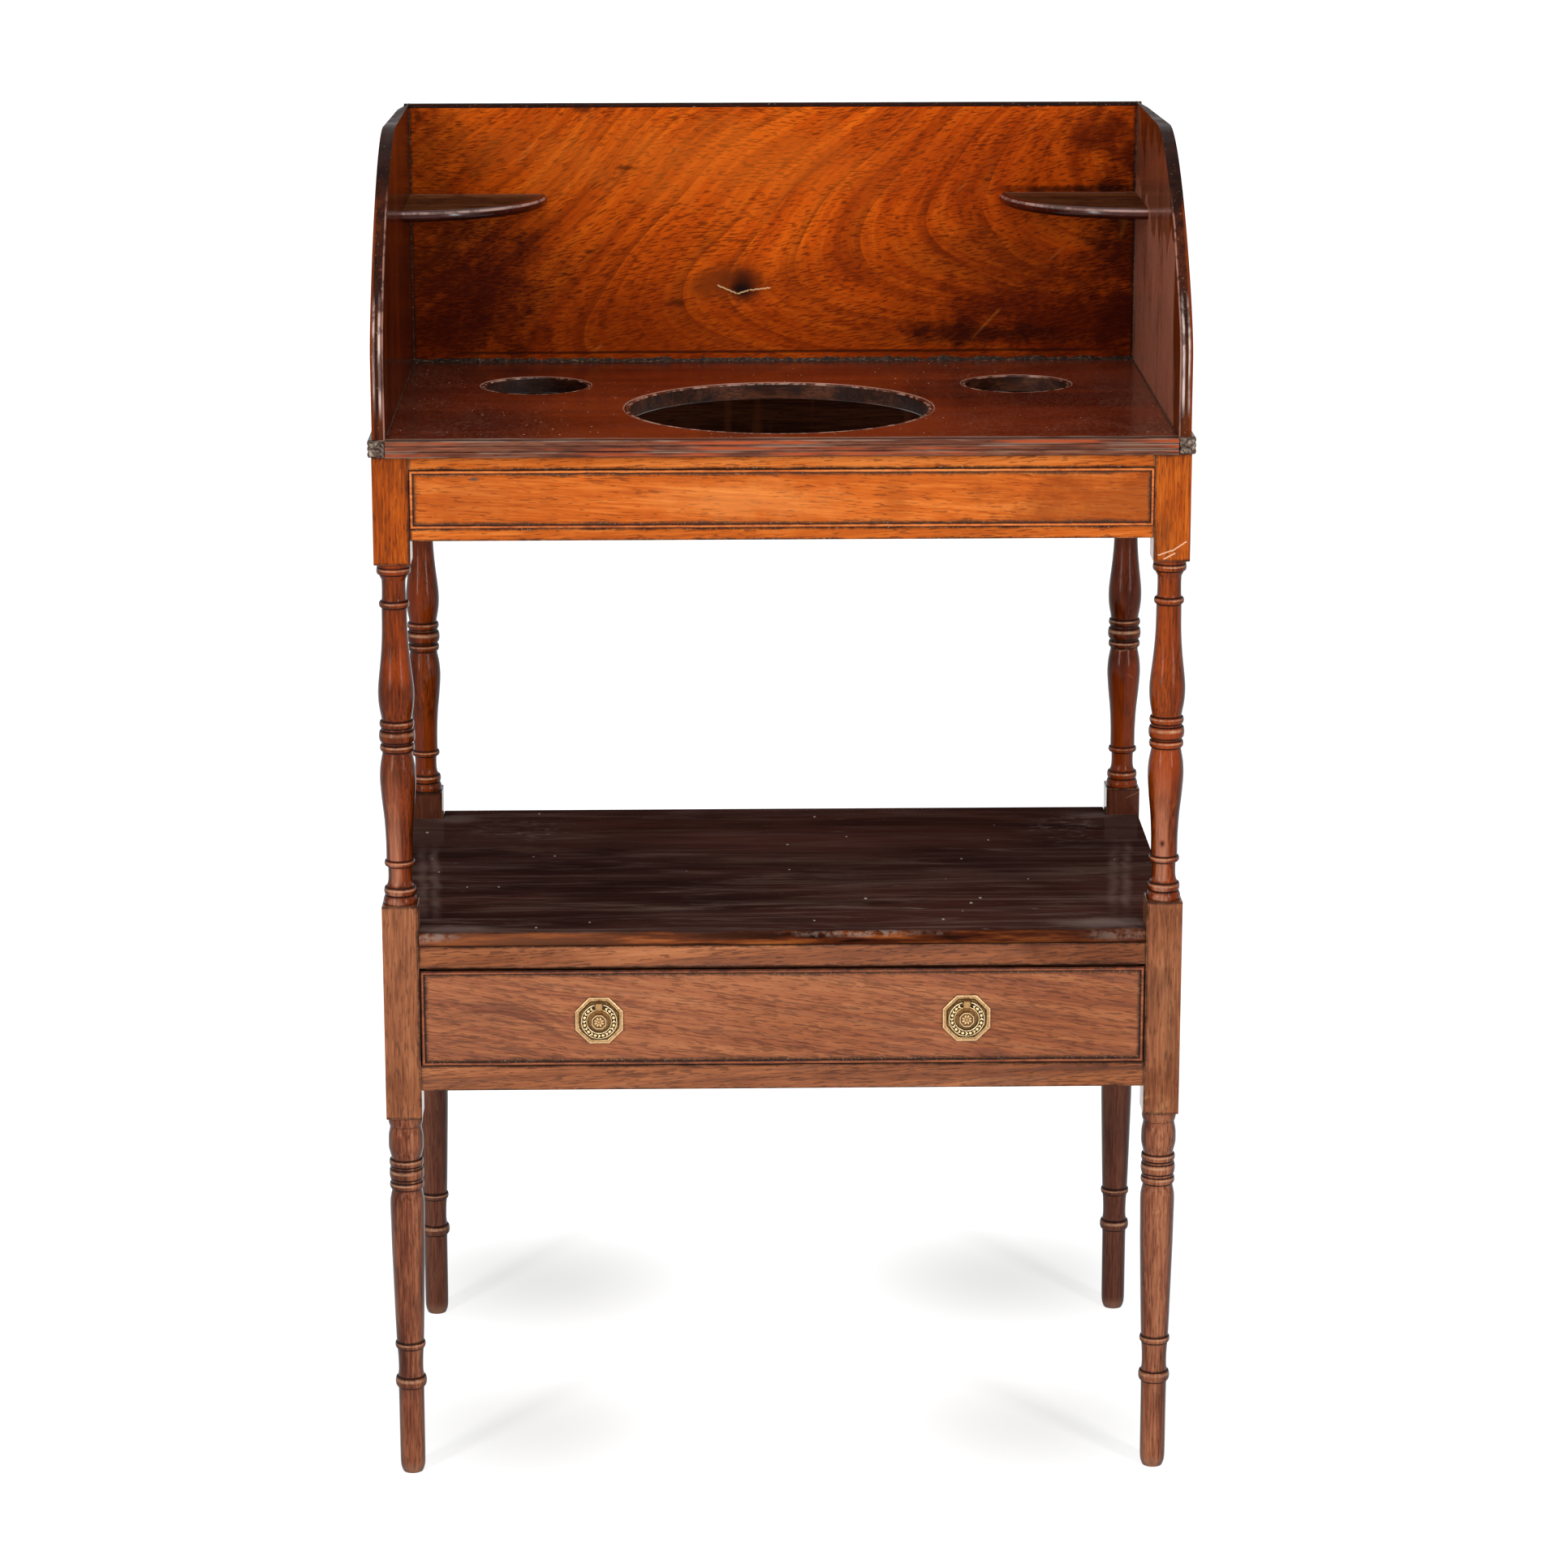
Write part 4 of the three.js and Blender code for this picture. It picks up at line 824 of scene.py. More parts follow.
def gallery_side_wood():
    """The gallery's sides: red-brown, the right inner face lighter with a painted sheen, with clouded polish
    high up.
    """
    finish = mahogany("gallery_side_wood", "34120a", "541f0c", "7a3213", along="Z", streaks=48, pores=0.35,
                      pore_tone="1c0804", roughness=(0.14, 0.24), turn=6)
    w = finish.w
    x, y, z = w.parts(finish.place)
    drips = w.noise(w.laid(finish.place, scale=(0.1, 15, 4)), 1, 3, 0.55)
    hang = z + (drips - 0.5) * 0.16
    clear_front = y + (drips - 0.5) * 0.09
    clouded = w.ranged(hang, 0.972, 0.966) * w.ranged(clear_front, -0.15, -0.142)
    thin = w.ranged(hang, 1.03, 1.022, 0.0, 0.3) * w.ranged(clear_front, -0.1, -0.09)
    inner_face = w.ranged(x, 0.29, 0.297) * w.ranged(x, 0.2992, 0.2986)
    # painted sheen: the right inner face made lighter
    finish.stain(inner_face, "8f4716", 0.45)
    streaked = w.ranged(w.noise(w.laid(finish.place, scale=(0.1, 90, 5)), 1, 3, 0.6), 0.42, 0.62)
    finish.stain(streaked * inner_face, "4a1d0a", 0.45)
    grey_polish = w.maths("MAXIMUM", clouded, thin) * inner_face
    finish.stain(grey_polish, "d28a70", 0.8)
    left_face = w.ranged(x, -0.297, -0.29)
    finish.stain((1.0 - left_face) * w.ranged(drips, 0.5, 0.62), "74280a", 0.35)
    drifts = w.noise(w.laid(finish.place, scale=(1, 1, 0.35)), 26, 3, 0.6)
    finish.stain(w.ranged(drifts, 0.5, 0.7), "2a0d06", 0.5)
    finish.stain(finish.specks(330.0, 0.25), "a58a7c", 0.35)
    dirty_edges(finish, 2.5 * MM, "180b08", 0.7)
    # deep: painted shade where the sides are seen edge-on
    return finish.finished(specular=0.04, bump=0.04, deep=0.3)


def gallery_edge_wood():
    """The gallery's swept edges: black high up, a painted dark reflection, red-brown below, with a painted
    highlight along the inner arris and two more low in front.
    """
    finish = mahogany("gallery_edge_wood", "22100a", "3c1a0e", "552813", along="Z", streaks=60, pores=0.3,
                      roughness=(0.4, 0.6))
    w = finish.w
    x, y, z = w.parts(finish.place)
    stretched = w.laid(finish.place, scale=(1, 1, 0.15))
    patchy = w.noise(stretched, 75, 3, 0.55)
    finish.stain(w.ranged(patchy, 0.5, 0.66), "6e3416", 0.5)
    finish.stain(w.ranged(patchy, 0.45, 0.34), "180b07", 0.55)
    stir = w.noise(stretched, 24, 2, 0.5) - 0.5
    dark_reflection_above = w.ranged(z + stir * 0.06, 0.985, 1.01)
    lower = 1.0 - dark_reflection_above
    # painted dark reflection on the upper part of the edges
    finish.stain(dark_reflection_above, "150806", 0.8)
    width = abs(x) + stir * 0.0016
    finish.stain(w.ranged(width, 0.3052, 0.3068) * lower, "8c3a12", 0.55)
    breaks = w.ranged(w.noise(stretched, 150, 3, 0.6), 0.36, 0.56, 0.2, 1.0)
    # a painted highlight along the inner arris
    arris_highlight = w.ranged(abs(width - 0.2989), 0.0009, 0.0003)
    finish.stain(arris_highlight * lower * breaks, "b8877a", 0.6)
    # two painted highlights low on the front of the edges
    rubbed = w.ranged(z, 0.975, 0.9) * w.ranged(z, 0.846, 0.868)
    rubbed = rubbed * w.ranged(y, -0.16, -0.178) * breaks
    for middle, half, strength in ((0.3012, 0.0013, 0.85), (0.3054, 0.0011, 0.75)):
        line = w.ranged(abs(width - middle), half, half * 0.4)
        finish.stain(line * rubbed, "dcc6bc", strength)
    specks = w.ranged(w.noise(finish.place, 420, 2, 0.6), 0.66, 0.72)
    finish.stain(specks, "a88c7c", 0.4)
    return finish.finished(specular=0.04, bump=0.1)


def shelf_wood():
    """The rounded edge and underside of a corner shelf, with a painted highlight along the upper round of the
    edge and painted shade underneath.
    """
    finish = mahogany("shelf_wood", "2a0e08", "421810", "5e2a1b", streaks=48, pores=0.3,
                      roughness=(0.14, 0.22))
    w = finish.w
    up = w.parts(finish.normal)[2]
    broken = w.noise(finish.place, 60, 3, 0.65)
    # painted highlight where the rounded edge faces half upward
    crest = w.ranged(abs(up - 0.5), 0.34, 0.12) * w.ranged(broken, 0.38, 0.56, 0.25, 1.0)
    finish.stain(crest, "d2aa9e", 0.7)
    # painted shade on the downward faces
    finish.stain(w.ranged(up, 0.0, -0.5), "230a06", 0.7)
    # deep: painted shade where the edge is seen edge-on
    return finish.finished(specular=0.24, bump=0.05, deep=0.2)


def shelf_top_wood():
    """The flat top of a corner shelf, dull with dust and paler at the wall."""
    finish = mahogany("shelf_top_wood", "462514", "633820", "82502f", streaks=40, pores=0.3,
                      roughness=(0.5, 0.7))
    w = finish.w
    rearward = w.parts(finish.place)[1]
    finish.stain(w.ranged(rearward, 0.172, 0.1815), "9c7261", 0.5)
    finish.stain(w.ranged(finish.cloud, 0.5, 0.62), "35180f", 0.45)
    finish.stain(finish.specks(300.0, 0.4, w.laid(finish.place, scale=(1, 1, 0.01))), "b49a8c", 0.5)
    return finish.finished(specular=0.0, bump=0.1)


def top_board_wood():
    """Dark red polish, speckled and bloomed, with a smear at the front left."""
    finish = mahogany("top_board_wood", "3f1006", "5c1c08", "7a2c0f", streaks=26, pores=0.2,
                      pore_tone="2a0b05", roughness=(0.12, 0.2), pore_strength=0.35, fibre_share=0.15)
    w = finish.w
    finish.flat_patches(TOP_LEVEL, [
        (0.14, -0.13, 0.19, 0.08, "7c2a0d", 0.55), (-0.22, -0.12, 0.1, 0.1, "3c0d04", 0.65),
        (-0.29, 0.0, 0.05, 0.22, "341009", 0.55), (0.0, 0.155, 0.32, 0.03, "6b3320", 0.45),
        (0.28, 0.05, 0.05, 0.16, "5f3526", 0.4)])
    spread = w.ranged(w.noise(finish.place, 9, 3, 0.5), 0.36, 0.6, 0.2, 1.0)
    dots = finish.specks(200.0, 0.6, w.laid(finish.place, scale=(1, 0.45, 0.01))) * spread
    finish.stain(dots, "d0a68c", 0.8)
    ends = w.ranged(abs(w.parts(finish.place)[0] + 0.03), 0.08, 0.28, 0.3, 1.0)
    bloom = w.ranged(w.noise(finish.place, 430, 3, 0.75), 0.46, 0.62)
    finish.stain(bloom * w.ranged(spread, 0.2, 1.0, 0.5, 1.0) * ends, "a07460", 0.5)
    smear = finish.area((-0.262, -0.155, TOP_LEVEL), (0.03, 0.02, 0.1), 0.4)
    rubs = w.noise(w.laid(finish.place, turn=(0, 0, 40), scale=(1, 5, 1)), 90, 3, 0.6)
    finish.stain(smear * w.ranged(rubs, 0.5, 0.7), "b29a8c", 0.6)
    finish.stain(finish.scratches(70.0, (0, 0, 20)), "9a6a50", 0.25)
    finish.dull(dots, 0.6)
    dirty_edges(finish, 2.5 * MM, "2a1710", 0.6)
    return finish.finished(specular=0.3, bump=0.05)


def rim_wood():
    """Turned bead round a hole: a painted highlight along the outer edge, a black quirk and a broken painted
    highlight on the crest.
    """
    finish = mahogany("rim_wood", "2a120a", "47200f", "6b3a20", streaks=90, pores=0.3, roughness=(0.16, 0.3))
    w = finish.w
    depth = finish.attribute("quirk")
    broken = w.noise(finish.place, 95, 3, 0.65)
    ragged = depth + (broken - 0.5) * 0.4
    finish.stain(w.ranged(ragged, 0.4, 0.8), "0f0705", 0.95)
    # broken painted highlight on the bead's crest
    crest = w.ranged(depth, 0.3, 0.12) * w.ranged(broken, 0.46, 0.6)
    finish.stain(crest, "b98f7c", 0.8)
    # painted highlight along the outer edge, where quirk is below 0
    finish.stain(w.ranged(depth, -0.1, -0.7), "b98a78", 0.85)
    return finish.finished(specular=0.25, bump=0.15)


def hole_wall_wood():
    """Rough turned wall of the basin and beaker holes."""
    finish = mahogany("hole_wall_wood", "180a06", "33180d", "542d19", streaks=90, pores=0.4,
                      pore_tone="1a0b06", roughness=(0.32, 0.5))
    w = finish.w
    drifts = w.noise(w.laid(finish.place, scale=(1, 1, 0.6)), 45, 4, 0.65)
    finish.stain(w.ranged(drifts, 0.5, 0.68), "1d0f0a", 0.75)
    finish.stain(w.ranged(w.noise(finish.place, 33, 3, 0.6), 0.58, 0.72), "7a4a30", 0.35)
    finish.height = w.noise(finish.place, 240, 3, 0.6)
    return finish.finished(specular=0.12, bump=0.5, depth=0.5 * MM)


def reeded_edge_wood(name, along):
    """Reeds: dark in the quirks, grey with old wax, rubbed orange on the crests."""
    finish = mahogany(name, "38190f", "663726", "85543c", along=along, streaks=160, pores=0.3,
                      roughness=(0.25, 0.42))
    w = finish.w
    rise = finish.attribute("quirk")
    stretch = w.laid(finish.lay, scale=(9, 90, 90))
    worn = w.ranged(w.noise(stretch, 1, 3, 0.6), 0.48, 0.62)
    wax = w.ranged(w.noise(w.laid(finish.lay, shift=(3, 1, 2), scale=(14, 120, 160)), 1, 3, 0.6), 0.48, 0.62)
    crest = w.ranged(rise, 0.45, 0.0)
    finish.stain(crest * worn, "bf5226", 0.7)
    finish.stain(w.ranged(rise, 0.05, 0.4) * wax, "9a7c6b", 0.7)
    finish.stain(w.ranged(rise, 0.55, 0.9), "0f0705", 0.95)
    return finish.finished(specular=0.16, bump=0.25)


def end_grain_wood():
    """Grey, rough end grain in front of the side reeds."""
    finish = Finish("end_grain_wood")
    w = finish.w
    lump = w.noise(finish.place, 420, 4, 0.7)
    wash = w.noise(finish.place, 170, 2, 0.5)
    finish.colour = w.ramp(lump * 0.6 + wash * 0.4,
                           [(0.38, "1c130f"), (0.48, "57463c"), (0.57, "8d7d70"), (0.68, "b5a799")])
    dirty_edges(finish, 3.0 * MM, "2a1d17", 0.8)
    finish.rough = w.ranged(lump, 0.3, 0.7, 0.6, 0.85)
    finish.height = lump
    return finish.finished(specular=0.15, bump=0.8, depth=0.8 * MM)


def painted_leg_reflection(finish, middle, slope):
    """A painted reflection of a rear leg: two wavy streaks running forward from it, and a greyer part next to
    its block, the painted reflection of the block.
    """
    w = finish.w
    x, y, _ = w.parts(finish.place)
    aside = x - (y * slope + middle)
    waves = w.noise(w.laid(finish.place, scale=(0.3, 1, 1)), 34, 3, 0.6) - 0.5
    stirred = aside + waves * 0.011
    span = w.ranged(y, 0.1, 0.03) * w.ranged(y, -0.178, -0.08)
    span = span * w.ranged(w.noise(finish.place, 38, 3, 0.6), 0.36, 0.6, 0.35, 1.0)
    for shift, half, strength in ((-0.0045, 0.0066, 0.27), (0.0055, 0.006, 0.34)):
        streak = w.ranged(abs(stirred - shift), half, 0.0004)
        finish.stain(streak * span, "8f766e", strength)
    greyer = w.ranged(abs(aside), 0.0146, 0.013) * w.ranged(y, 0.07, 0.1)
    finish.stain(greyer, "6a544c", 0.2)


def wiped_sheen_and_drifts(finish):
    """Wipe marks of the polish as a grey painted sheen, heavier towards the front, over brown and dark
    drifts. Returns the sheen mask.
    """
    w = finish.w

    def drifts(scale, detail, rough, warp=0.0, shift=(0, 0, 0), turn=(0, 0, 0)):
        return w.noise(w.laid(finish.place, shift=shift, turn=turn, scale=scale), 1, detail, rough, warp)

    sheen_haze = w.ranged(drifts((6, 60, 1), 5, 0.7, 1.0, turn=(0, 0, 3)), 0.44, 0.68)
    front = w.ranged(w.parts(finish.place)[1], 0.06, -0.13)
    # painted sheen following the wipe marks
    finish.stain(sheen_haze * (front * 0.45 + 0.45), "82675e", 0.56)
    finish.stain(w.ranged(drifts((3, 9, 1), 3, 0.6), 0.45, 0.7), "532e25", 0.5)
    finish.stain(w.ranged(drifts((5, 26, 1), 4, 0.6, 0.6, (4, 2, 0), (0, 0, -6)), 0.5, 0.66), "1c0f0d", 0.5)
    return sheen_haze


def rubbed_corners(finish):
    """Curled rubs before the rear legs and grey polish in the four corners."""
    w = finish.w
    curls = [finish.area((*centre, UNDERTIER_LEVEL), (*half, 0.1), 0.6)
             for centre, half in (((-0.21, 0.13), (0.06, 0.05)), ((0.245, 0.12), (0.045, 0.07)))]
    rubs = w.noise(w.laid(finish.place, turn=(0, 0, 35), scale=(1, 4, 1)), 60, 4, 0.65, 0.8)
    finish.stain(w.maths("MAXIMUM", *curls) * w.ranged(rubs, 0.5, 0.72), "857269", 0.7)
    for x, y, half_x, half_y, strength in ((-0.27, 0.165, 0.035, 0.02, 0.42),
                                           (0.27, 0.165, 0.03, 0.015, 0.42),
                                           (0.25, -0.166, 0.06, 0.02, 0.6),
                                           (-0.26, -0.172, 0.05, 0.014, 0.4)):
        finish.stain(finish.area((x, y, UNDERTIER_LEVEL), (half_x, half_y, 0.1), 0.25), "85706a", strength)


def worn_nose(finish):
    """The nose rubbed through to brown, with old wax on it and a dark line under it."""
    w = finish.w
    x, y, z = w.parts(finish.place)
    stirred = w.stirred(y, w.laid(finish.place, scale=(1, 0.2, 0.2)), 28, 3, 0.6, 8 * MM)
    worn = w.ranged(stirred, NOSE_RUB + 1.2 * MM, NOSE_RUB - 2.5 * MM)
    rubs = w.noise(w.laid(finish.place, shift=(1, 0, 0), scale=(14, 60, 170)), 1, 4, 0.62)
    brown = w.ramp(rubs, [(0.38, "240f09"), (0.5, "522411"), (0.61, "84451f"), (0.74, "a9602f")])
    finish.stain(worn, w.mixed(finish.grain["Pores"] * 0.6, brown, "2c120a"))
    finish.stain(worn * w.ranged(x, 0.05, -0.25), "a8694a", 0.32)
    finish.stain(worn * w.ranged(x, 0.1, 0.24), "3a2018", 0.5)
    wax = worn * w.ranged(w.noise(finish.place, 130, 4, 0.7), 0.42, 0.6)
    waxed_places = ((-0.274, 0.446, 0.03, 0.007), (0.06, 0.4465, 0.09, 0.004), (0.262, 0.4445, 0.035, 0.006))
    left, middle, right = (finish.area((along, FRONT_FACE, up), (half_x, 0.02, half_z), 0.4)
                           for along, up, half_x, half_z in waxed_places)
    waxed = w.maths("MAXIMUM", w.maths("MAXIMUM", left, middle), right * 0.55)
    finish.stain(wax * waxed, "a9978c", 0.45)
    under = w.ranged(z, UNDERTIER_LEVEL - 8.3 * MM, UNDERTIER_LEVEL - 9.7 * MM)
    finish.stain(under * worn, "1a0c07", 0.9)


def undertier_wood():
    """Nearly black polish on top, wiped and speckled, with a painted sheen and painted reflections of the
    rear legs, rubbed through to brown along the nose.
    """
    finish = mahogany("undertier_wood", "2b1815", "38211d", "472c27", streaks=26, pores=0.25,
                      pore_tone="120a08", roughness=(0.4, 0.6), pore_strength=0.4, fibre_share=0.3)
    sheen_haze = wiped_sheen_and_drifts(finish)
    rubbed_corners(finish)
    # painted reflections of the two rear legs
    painted_leg_reflection(finish, -0.2839, -0.061)
    painted_leg_reflection(finish, 0.2777, 0.0949)
    flat = finish.w.laid(finish.place, scale=(1, 0.55, 0.01))
    finish.stain(finish.specks(120.0, 0.1, flat), "cfc4bd", 0.75)
    finish.stain(finish.specks(420.0, 0.2, flat), "8f7f78", 0.3)
    finish.stain(finish.scratches(80.0, (0, 0, 2)), "8d7b74", 0.35)
    worn_nose(finish)
    finish.dull(sheen_haze, 0.7)
    return finish.finished(specular=0.0, bump=0.1)


def joint_dirt():
    """Old putty and dirt packed into a corner."""
    finish = Finish("joint_dirt")
    w = finish.w
    lump = w.noise(w.laid(finish.place, scale=(0.5, 1, 1)), 520, 4, 0.75)
    finish.colour = w.ramp(lump, [(0.36, "100906"), (0.5, "2a1b14"), (0.6, "55402f"), (0.72, "9a8470")])
    finish.rough = w.ranged(lump, 0.3, 0.7, 0.45, 0.8)
    finish.height = lump
    return finish.finished(specular=0.2, bump=0.9, depth=0.8 * MM)


def handle_brass(name, bright, mid, dark):
    """Stamped and lacquered brass, dark in the hollows and rubbed on the heights; a low quirk also carries
    the painted highlight on the boss's upper facets.
    """
    finish = Finish(name)
    w = finish.w
    sunk = finish.attribute("quirk")
    level = w.stirred(sunk, finish.place, 900, 3, 0.6, 0.7)
    finish.colour = w.ramp(level, [(0.05, bright), (0.45, mid), (0.9, dark)])
    finish.rough = w.ranged(level, 0.0, 1.0, 0.3, 0.6)
    finish.height = w.noise(finish.place, 1500, 2, 0.6)
    return finish.finished(specular=0.5, bump=0.25, depth=0.1 * MM, metallic=1.0)


def old_iron():
    """Rusty iron of the screws."""
    finish = Finish("old_iron")
    w = finish.w
    rust = w.noise(finish.place, 600, 4, 0.65)
    finish.colour = w.ramp(rust, [(0.35, "2b2622"), (0.55, "473f38"), (0.72, "6a4630")])
    finish.rough = w.ranged(rust, 0.3, 0.7, 0.45, 0.75)
    finish.height = rust
    return finish.finished(specular=0.5, bump=0.4, depth=0.2 * MM, metallic=0.9)


# Shapes

FAR = 10.0


class Shape:
    """Points and faces of one piece, with each board's corners and how deep each point lies in a quirk."""

    def __init__(self):
        self.points, self.faces, self.finishes = [], [], []
        self.lows, self.highs, self.quirks = [], [], []

    def add(self, made, finish=0, corners=None, quirks=None):
        """Adds points and faces. finish: one number, or one for each face. corners: where dirt gathers."""
        points, faces = made
        first = len(self.points)
        self.points += [tuple(p) for p in points]
        self.faces += [tuple(first + i for i in face) for face in faces]
        self.finishes += finish if isinstance(finish, list) else [finish] * len(faces)
        low, high = corners or ((-FAR,) * 3, (FAR,) * 3)
        self.lows += [tuple(low)] * len(points)
        self.highs += [tuple(high)] * len(points)
        self.quirks += list(quirks) if quirks is not None else [0.0] * len(points)
        return self

    def mesh(self, name, materials):
        """A mesh of the shape, with its board corners and quirks as attributes."""
        mesh = bpy.data.meshes.new(name)
        mesh.from_pydata(self.points, [], self.faces)
        for material in materials:
            mesh.materials.append(material)
        mesh.polygons.foreach_set("material_index", self.finishes)
        for label, values in (("low", self.lows), ("high", self.highs)):
            layer = mesh.attributes.new(label, "FLOAT_VECTOR", "POINT")
            layer.data.foreach_set("vector", [c for v in values for c in v])
        mesh.attributes.new("quirk", "FLOAT", "POINT").data.foreach_set("value", self.quirks)
        maker = bmesh.new()
        maker.from_mesh(mesh)
        bmesh.ops.recalc_face_normals(maker, faces=maker.faces[:])
        maker.to_mesh(mesh)
        maker.free()
        mesh.shade_smooth()
        mesh.set_sharp_from_angle(angle=math.radians(40))
        return mesh


def taken(maker):
    """Points and faces out of a bmesh."""
    maker.verts.ensure_lookup_table()
    maker.verts.index_update()
    made = [tuple(v.co) for v in maker.verts], [tuple(v.index for v in f.verts) for f in maker.faces]
    maker.free()
    return made


def evaluated(thing):
    """A new mesh of an object with its modifiers worked out."""
    graph = bpy.context.evaluated_depsgraph_get()
    final = thing.evaluated_get(graph)
    return bpy.data.meshes.new_from_object(final, preserve_all_data_layers=True, depsgraph=graph)


def piece(name, shape, finishes, slot, body, *stands_for):
    """Adds a finished piece with flat faces shaded flat and rounded edges shaded round."""
    made = bpy.data.objects.new(name, shape.mesh(name, finishes))
    scene.collection.objects.link(made)
    weighting = made.modifiers.new("flat_faces", "WEIGHTED_NORMAL")
    weighting.keep_sharp, weighting.weight = True, 80
    rough_mesh, made_mesh = made.data, evaluated(made)
    made.modifiers.clear()
    made.data = made_mesh
    made_mesh.name = name
    bpy.data.meshes.remove(rough_mesh)
    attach(made, body)
    if stands_for:
        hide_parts(*stands_for)
    return made


def block(low, high, ease):
    """A squared block with eased edges."""
    maker = bmesh.new()
    bmesh.ops.create_cube(maker, size=1)
    low, high = Vector(low), Vector(high)
    for vert in maker.verts:
        vert.co = Vector([low[i] + (high[i] - low[i]) * (vert.co[i] + 0.5) for i in range(3)])
    bmesh.ops.bevel(maker, geom=maker.edges[:], offset=ease, segments=2, profile=0.5, affect="EDGES")
    return taken(maker)


def sawn(loops, low, high, axes, ease=0.0, steps=3, rounded=None):
    """A board sawn to an outline, with holes. axes gives the outline's two axes and the thickness axis."""
    a, b, c = axes
    maker = bmesh.new()

    def corner(point, level):
        co = Vector()
        co[a], co[b], co[c] = point[0], point[1], level
        return maker.verts.new(co)

    for loop in loops:
        verts = [corner(p, low) for p in loop]
        for i, vert in enumerate(verts):
            maker.edges.new((vert, verts[(i + 1) % len(verts)]))
    bmesh.ops.triangle_fill(maker, use_beauty=True, edges=maker.edges[:])
    raised = bmesh.ops.extrude_face_region(maker, geom=maker.faces[:])
    for item in raised["geom"]:
        if isinstance(item, bmesh.types.BMVert):
            item.co[c] = high
    bmesh.ops.recalc_face_normals(maker, faces=maker.faces[:])
    if ease:
        def picked(edge):
            bend = len(edge.link_faces) == 2 and edge.calc_face_angle(0) > 0.6
            return bend and (rounded is None or rounded(edge.verts[0].co, edge.verts[1].co))

        edges = [edge for edge in maker.edges if picked(edge)]
        bmesh.ops.bevel(maker, geom=edges, offset=ease, segments=steps, profile=0.5, affect="EDGES",
                        clamp_overlap=True)
    return taken(maker)


def skin(count, rows, closed=False):
    """Faces over rows of points, each row a loop. Both ends are closed, unless the rows meet end to end."""
    starts = [row * count for row in range(rows)]
    pairs = list(zip(starts, starts[1:] + starts[:1] if closed else starts[1:]))
    faces = [(here + k, here + (k + 1) % count, there + (k + 1) % count, there + k)
             for here, there in pairs for k in range(count)]
    return faces if closed else faces + [tuple(range(count)), tuple(starts[-1] + k for k in range(count))]


def run(section, start, end, axis, steps=1, wobble=0.0):
    """A closed section of (depth, height) points run along one axis. Returns it with closed ends."""
    points = []
    others = [i for i in range(3) if i != axis]
    for step in range(steps + 1):
        level = start + (end - start) * step / steps
        for first, second in section:
            co = [0.0, 0.0, 0.0]
            co[axis], co[others[0]], co[others[1]] = level, first, second
            if wobble:
                stir = noise.noise(Vector((level * 18, first * 400, second * 400)))
                co[others[0]] += wobble * (stir - 0.5)
            points.append(tuple(co))
    return points, skin(len(section), steps + 1)


def ring_run(section, centre, segments):
    """A closed section of (radius, height) points turned about an upright axis."""
    points = []
    for segment in range(segments):
        angle = 2 * math.pi * segment / segments
        points += [(centre[0] + r * math.cos(angle), centre[1] + r * math.sin(angle), z) for r, z in section]
    return points, skin(len(section), segments, closed=True)


# Geometry nodes trees

def geometry_tree(name, given):
    tree = bpy.data.node_groups.new(name, "GeometryNodeTree")
    tree.interface.new_socket("Geometry", in_out="INPUT", socket_type="NodeSocketGeometry")
    for label, kind in given:
        tree.interface.new_socket(label, in_out="INPUT", socket_type="NodeSocket" + kind)
    tree.interface.new_socket("Geometry", in_out="OUTPUT", socket_type="NodeSocketGeometry")
    w = Wiring(tree)
    return w, w.outs("NodeGroupInput"), w.node("NodeGroupOutput").inputs[0], tree


def closing(w, geometry, finish, result):
    """Gives the made geometry its finish and hands it out."""
    whole = w.out("GeometryNodeRealizeInstances", {"Geometry": geometry})
    painted = w.out("GeometryNodeSetMaterial", {"Geometry": whole, "Material": finish})
    w.feed(result, painted)


def grown(base, tree, **values):
    """Runs a tree on a base mesh and returns plain points and faces with the quirk of each point."""
    thing = bpy.data.objects.new("growing", base)
    scene.collection.objects.link(thing)
    modifier = thing.modifiers.new("tree", "NODES")
    modifier.node_group = tree
    labels = {key.replace("_", " ").title(): value for key, value in values.items()}
    for item in tree.interface.items_tree:
        if item.item_type == "SOCKET" and item.in_out == "INPUT" and item.name in labels:
            modifier[item.identifier] = labels[item.name]
    mesh = evaluated(thing)
    thing.modifiers.clear()
    points = [tuple(v.co) for v in mesh.vertices]
    faces = [tuple(p.vertices) for p in mesh.polygons]
    layer = mesh.attributes.get("quirk")
    quirks = [0.0] * len(points)
    if layer and layer.domain == "POINT":
        layer.data.foreach_get("value", quirks)
    bpy.data.objects.remove(thing)
    bpy.data.meshes.remove(mesh)
    return (points, faces), quirks


def turned_post_tree():
    """Turns an upright line into a post: each point carries its own radius."""
    w, given, result, tree = geometry_tree(
        "turned_post", [("Facets", "Int"), ("Axis Place", "Vector"), ("Finish", "Material")])
    line = w.out("GeometryNodeMeshToCurve", {"Mesh": given["Geometry"]})
    radius = w.out("GeometryNodeInputNamedAttribute", {"Name": "turned_radius"}, "Attribute",
                   data_type="FLOAT")
    circle = w.out("GeometryNodeCurvePrimitiveCircle", {"Resolution": given["Facets"], "Radius": 1.0})
    values = {"Curve": line, "Profile Curve": circle, "Scale": radius, "Fill Caps": True}
    post = w.out("GeometryNodeCurveToMesh", values)
    placed = w.out("GeometryNodeTransform", {"Geometry": post, "Translation": given["Axis Place"]})
    closing(w, placed, given["Finish"], result)
    return tree


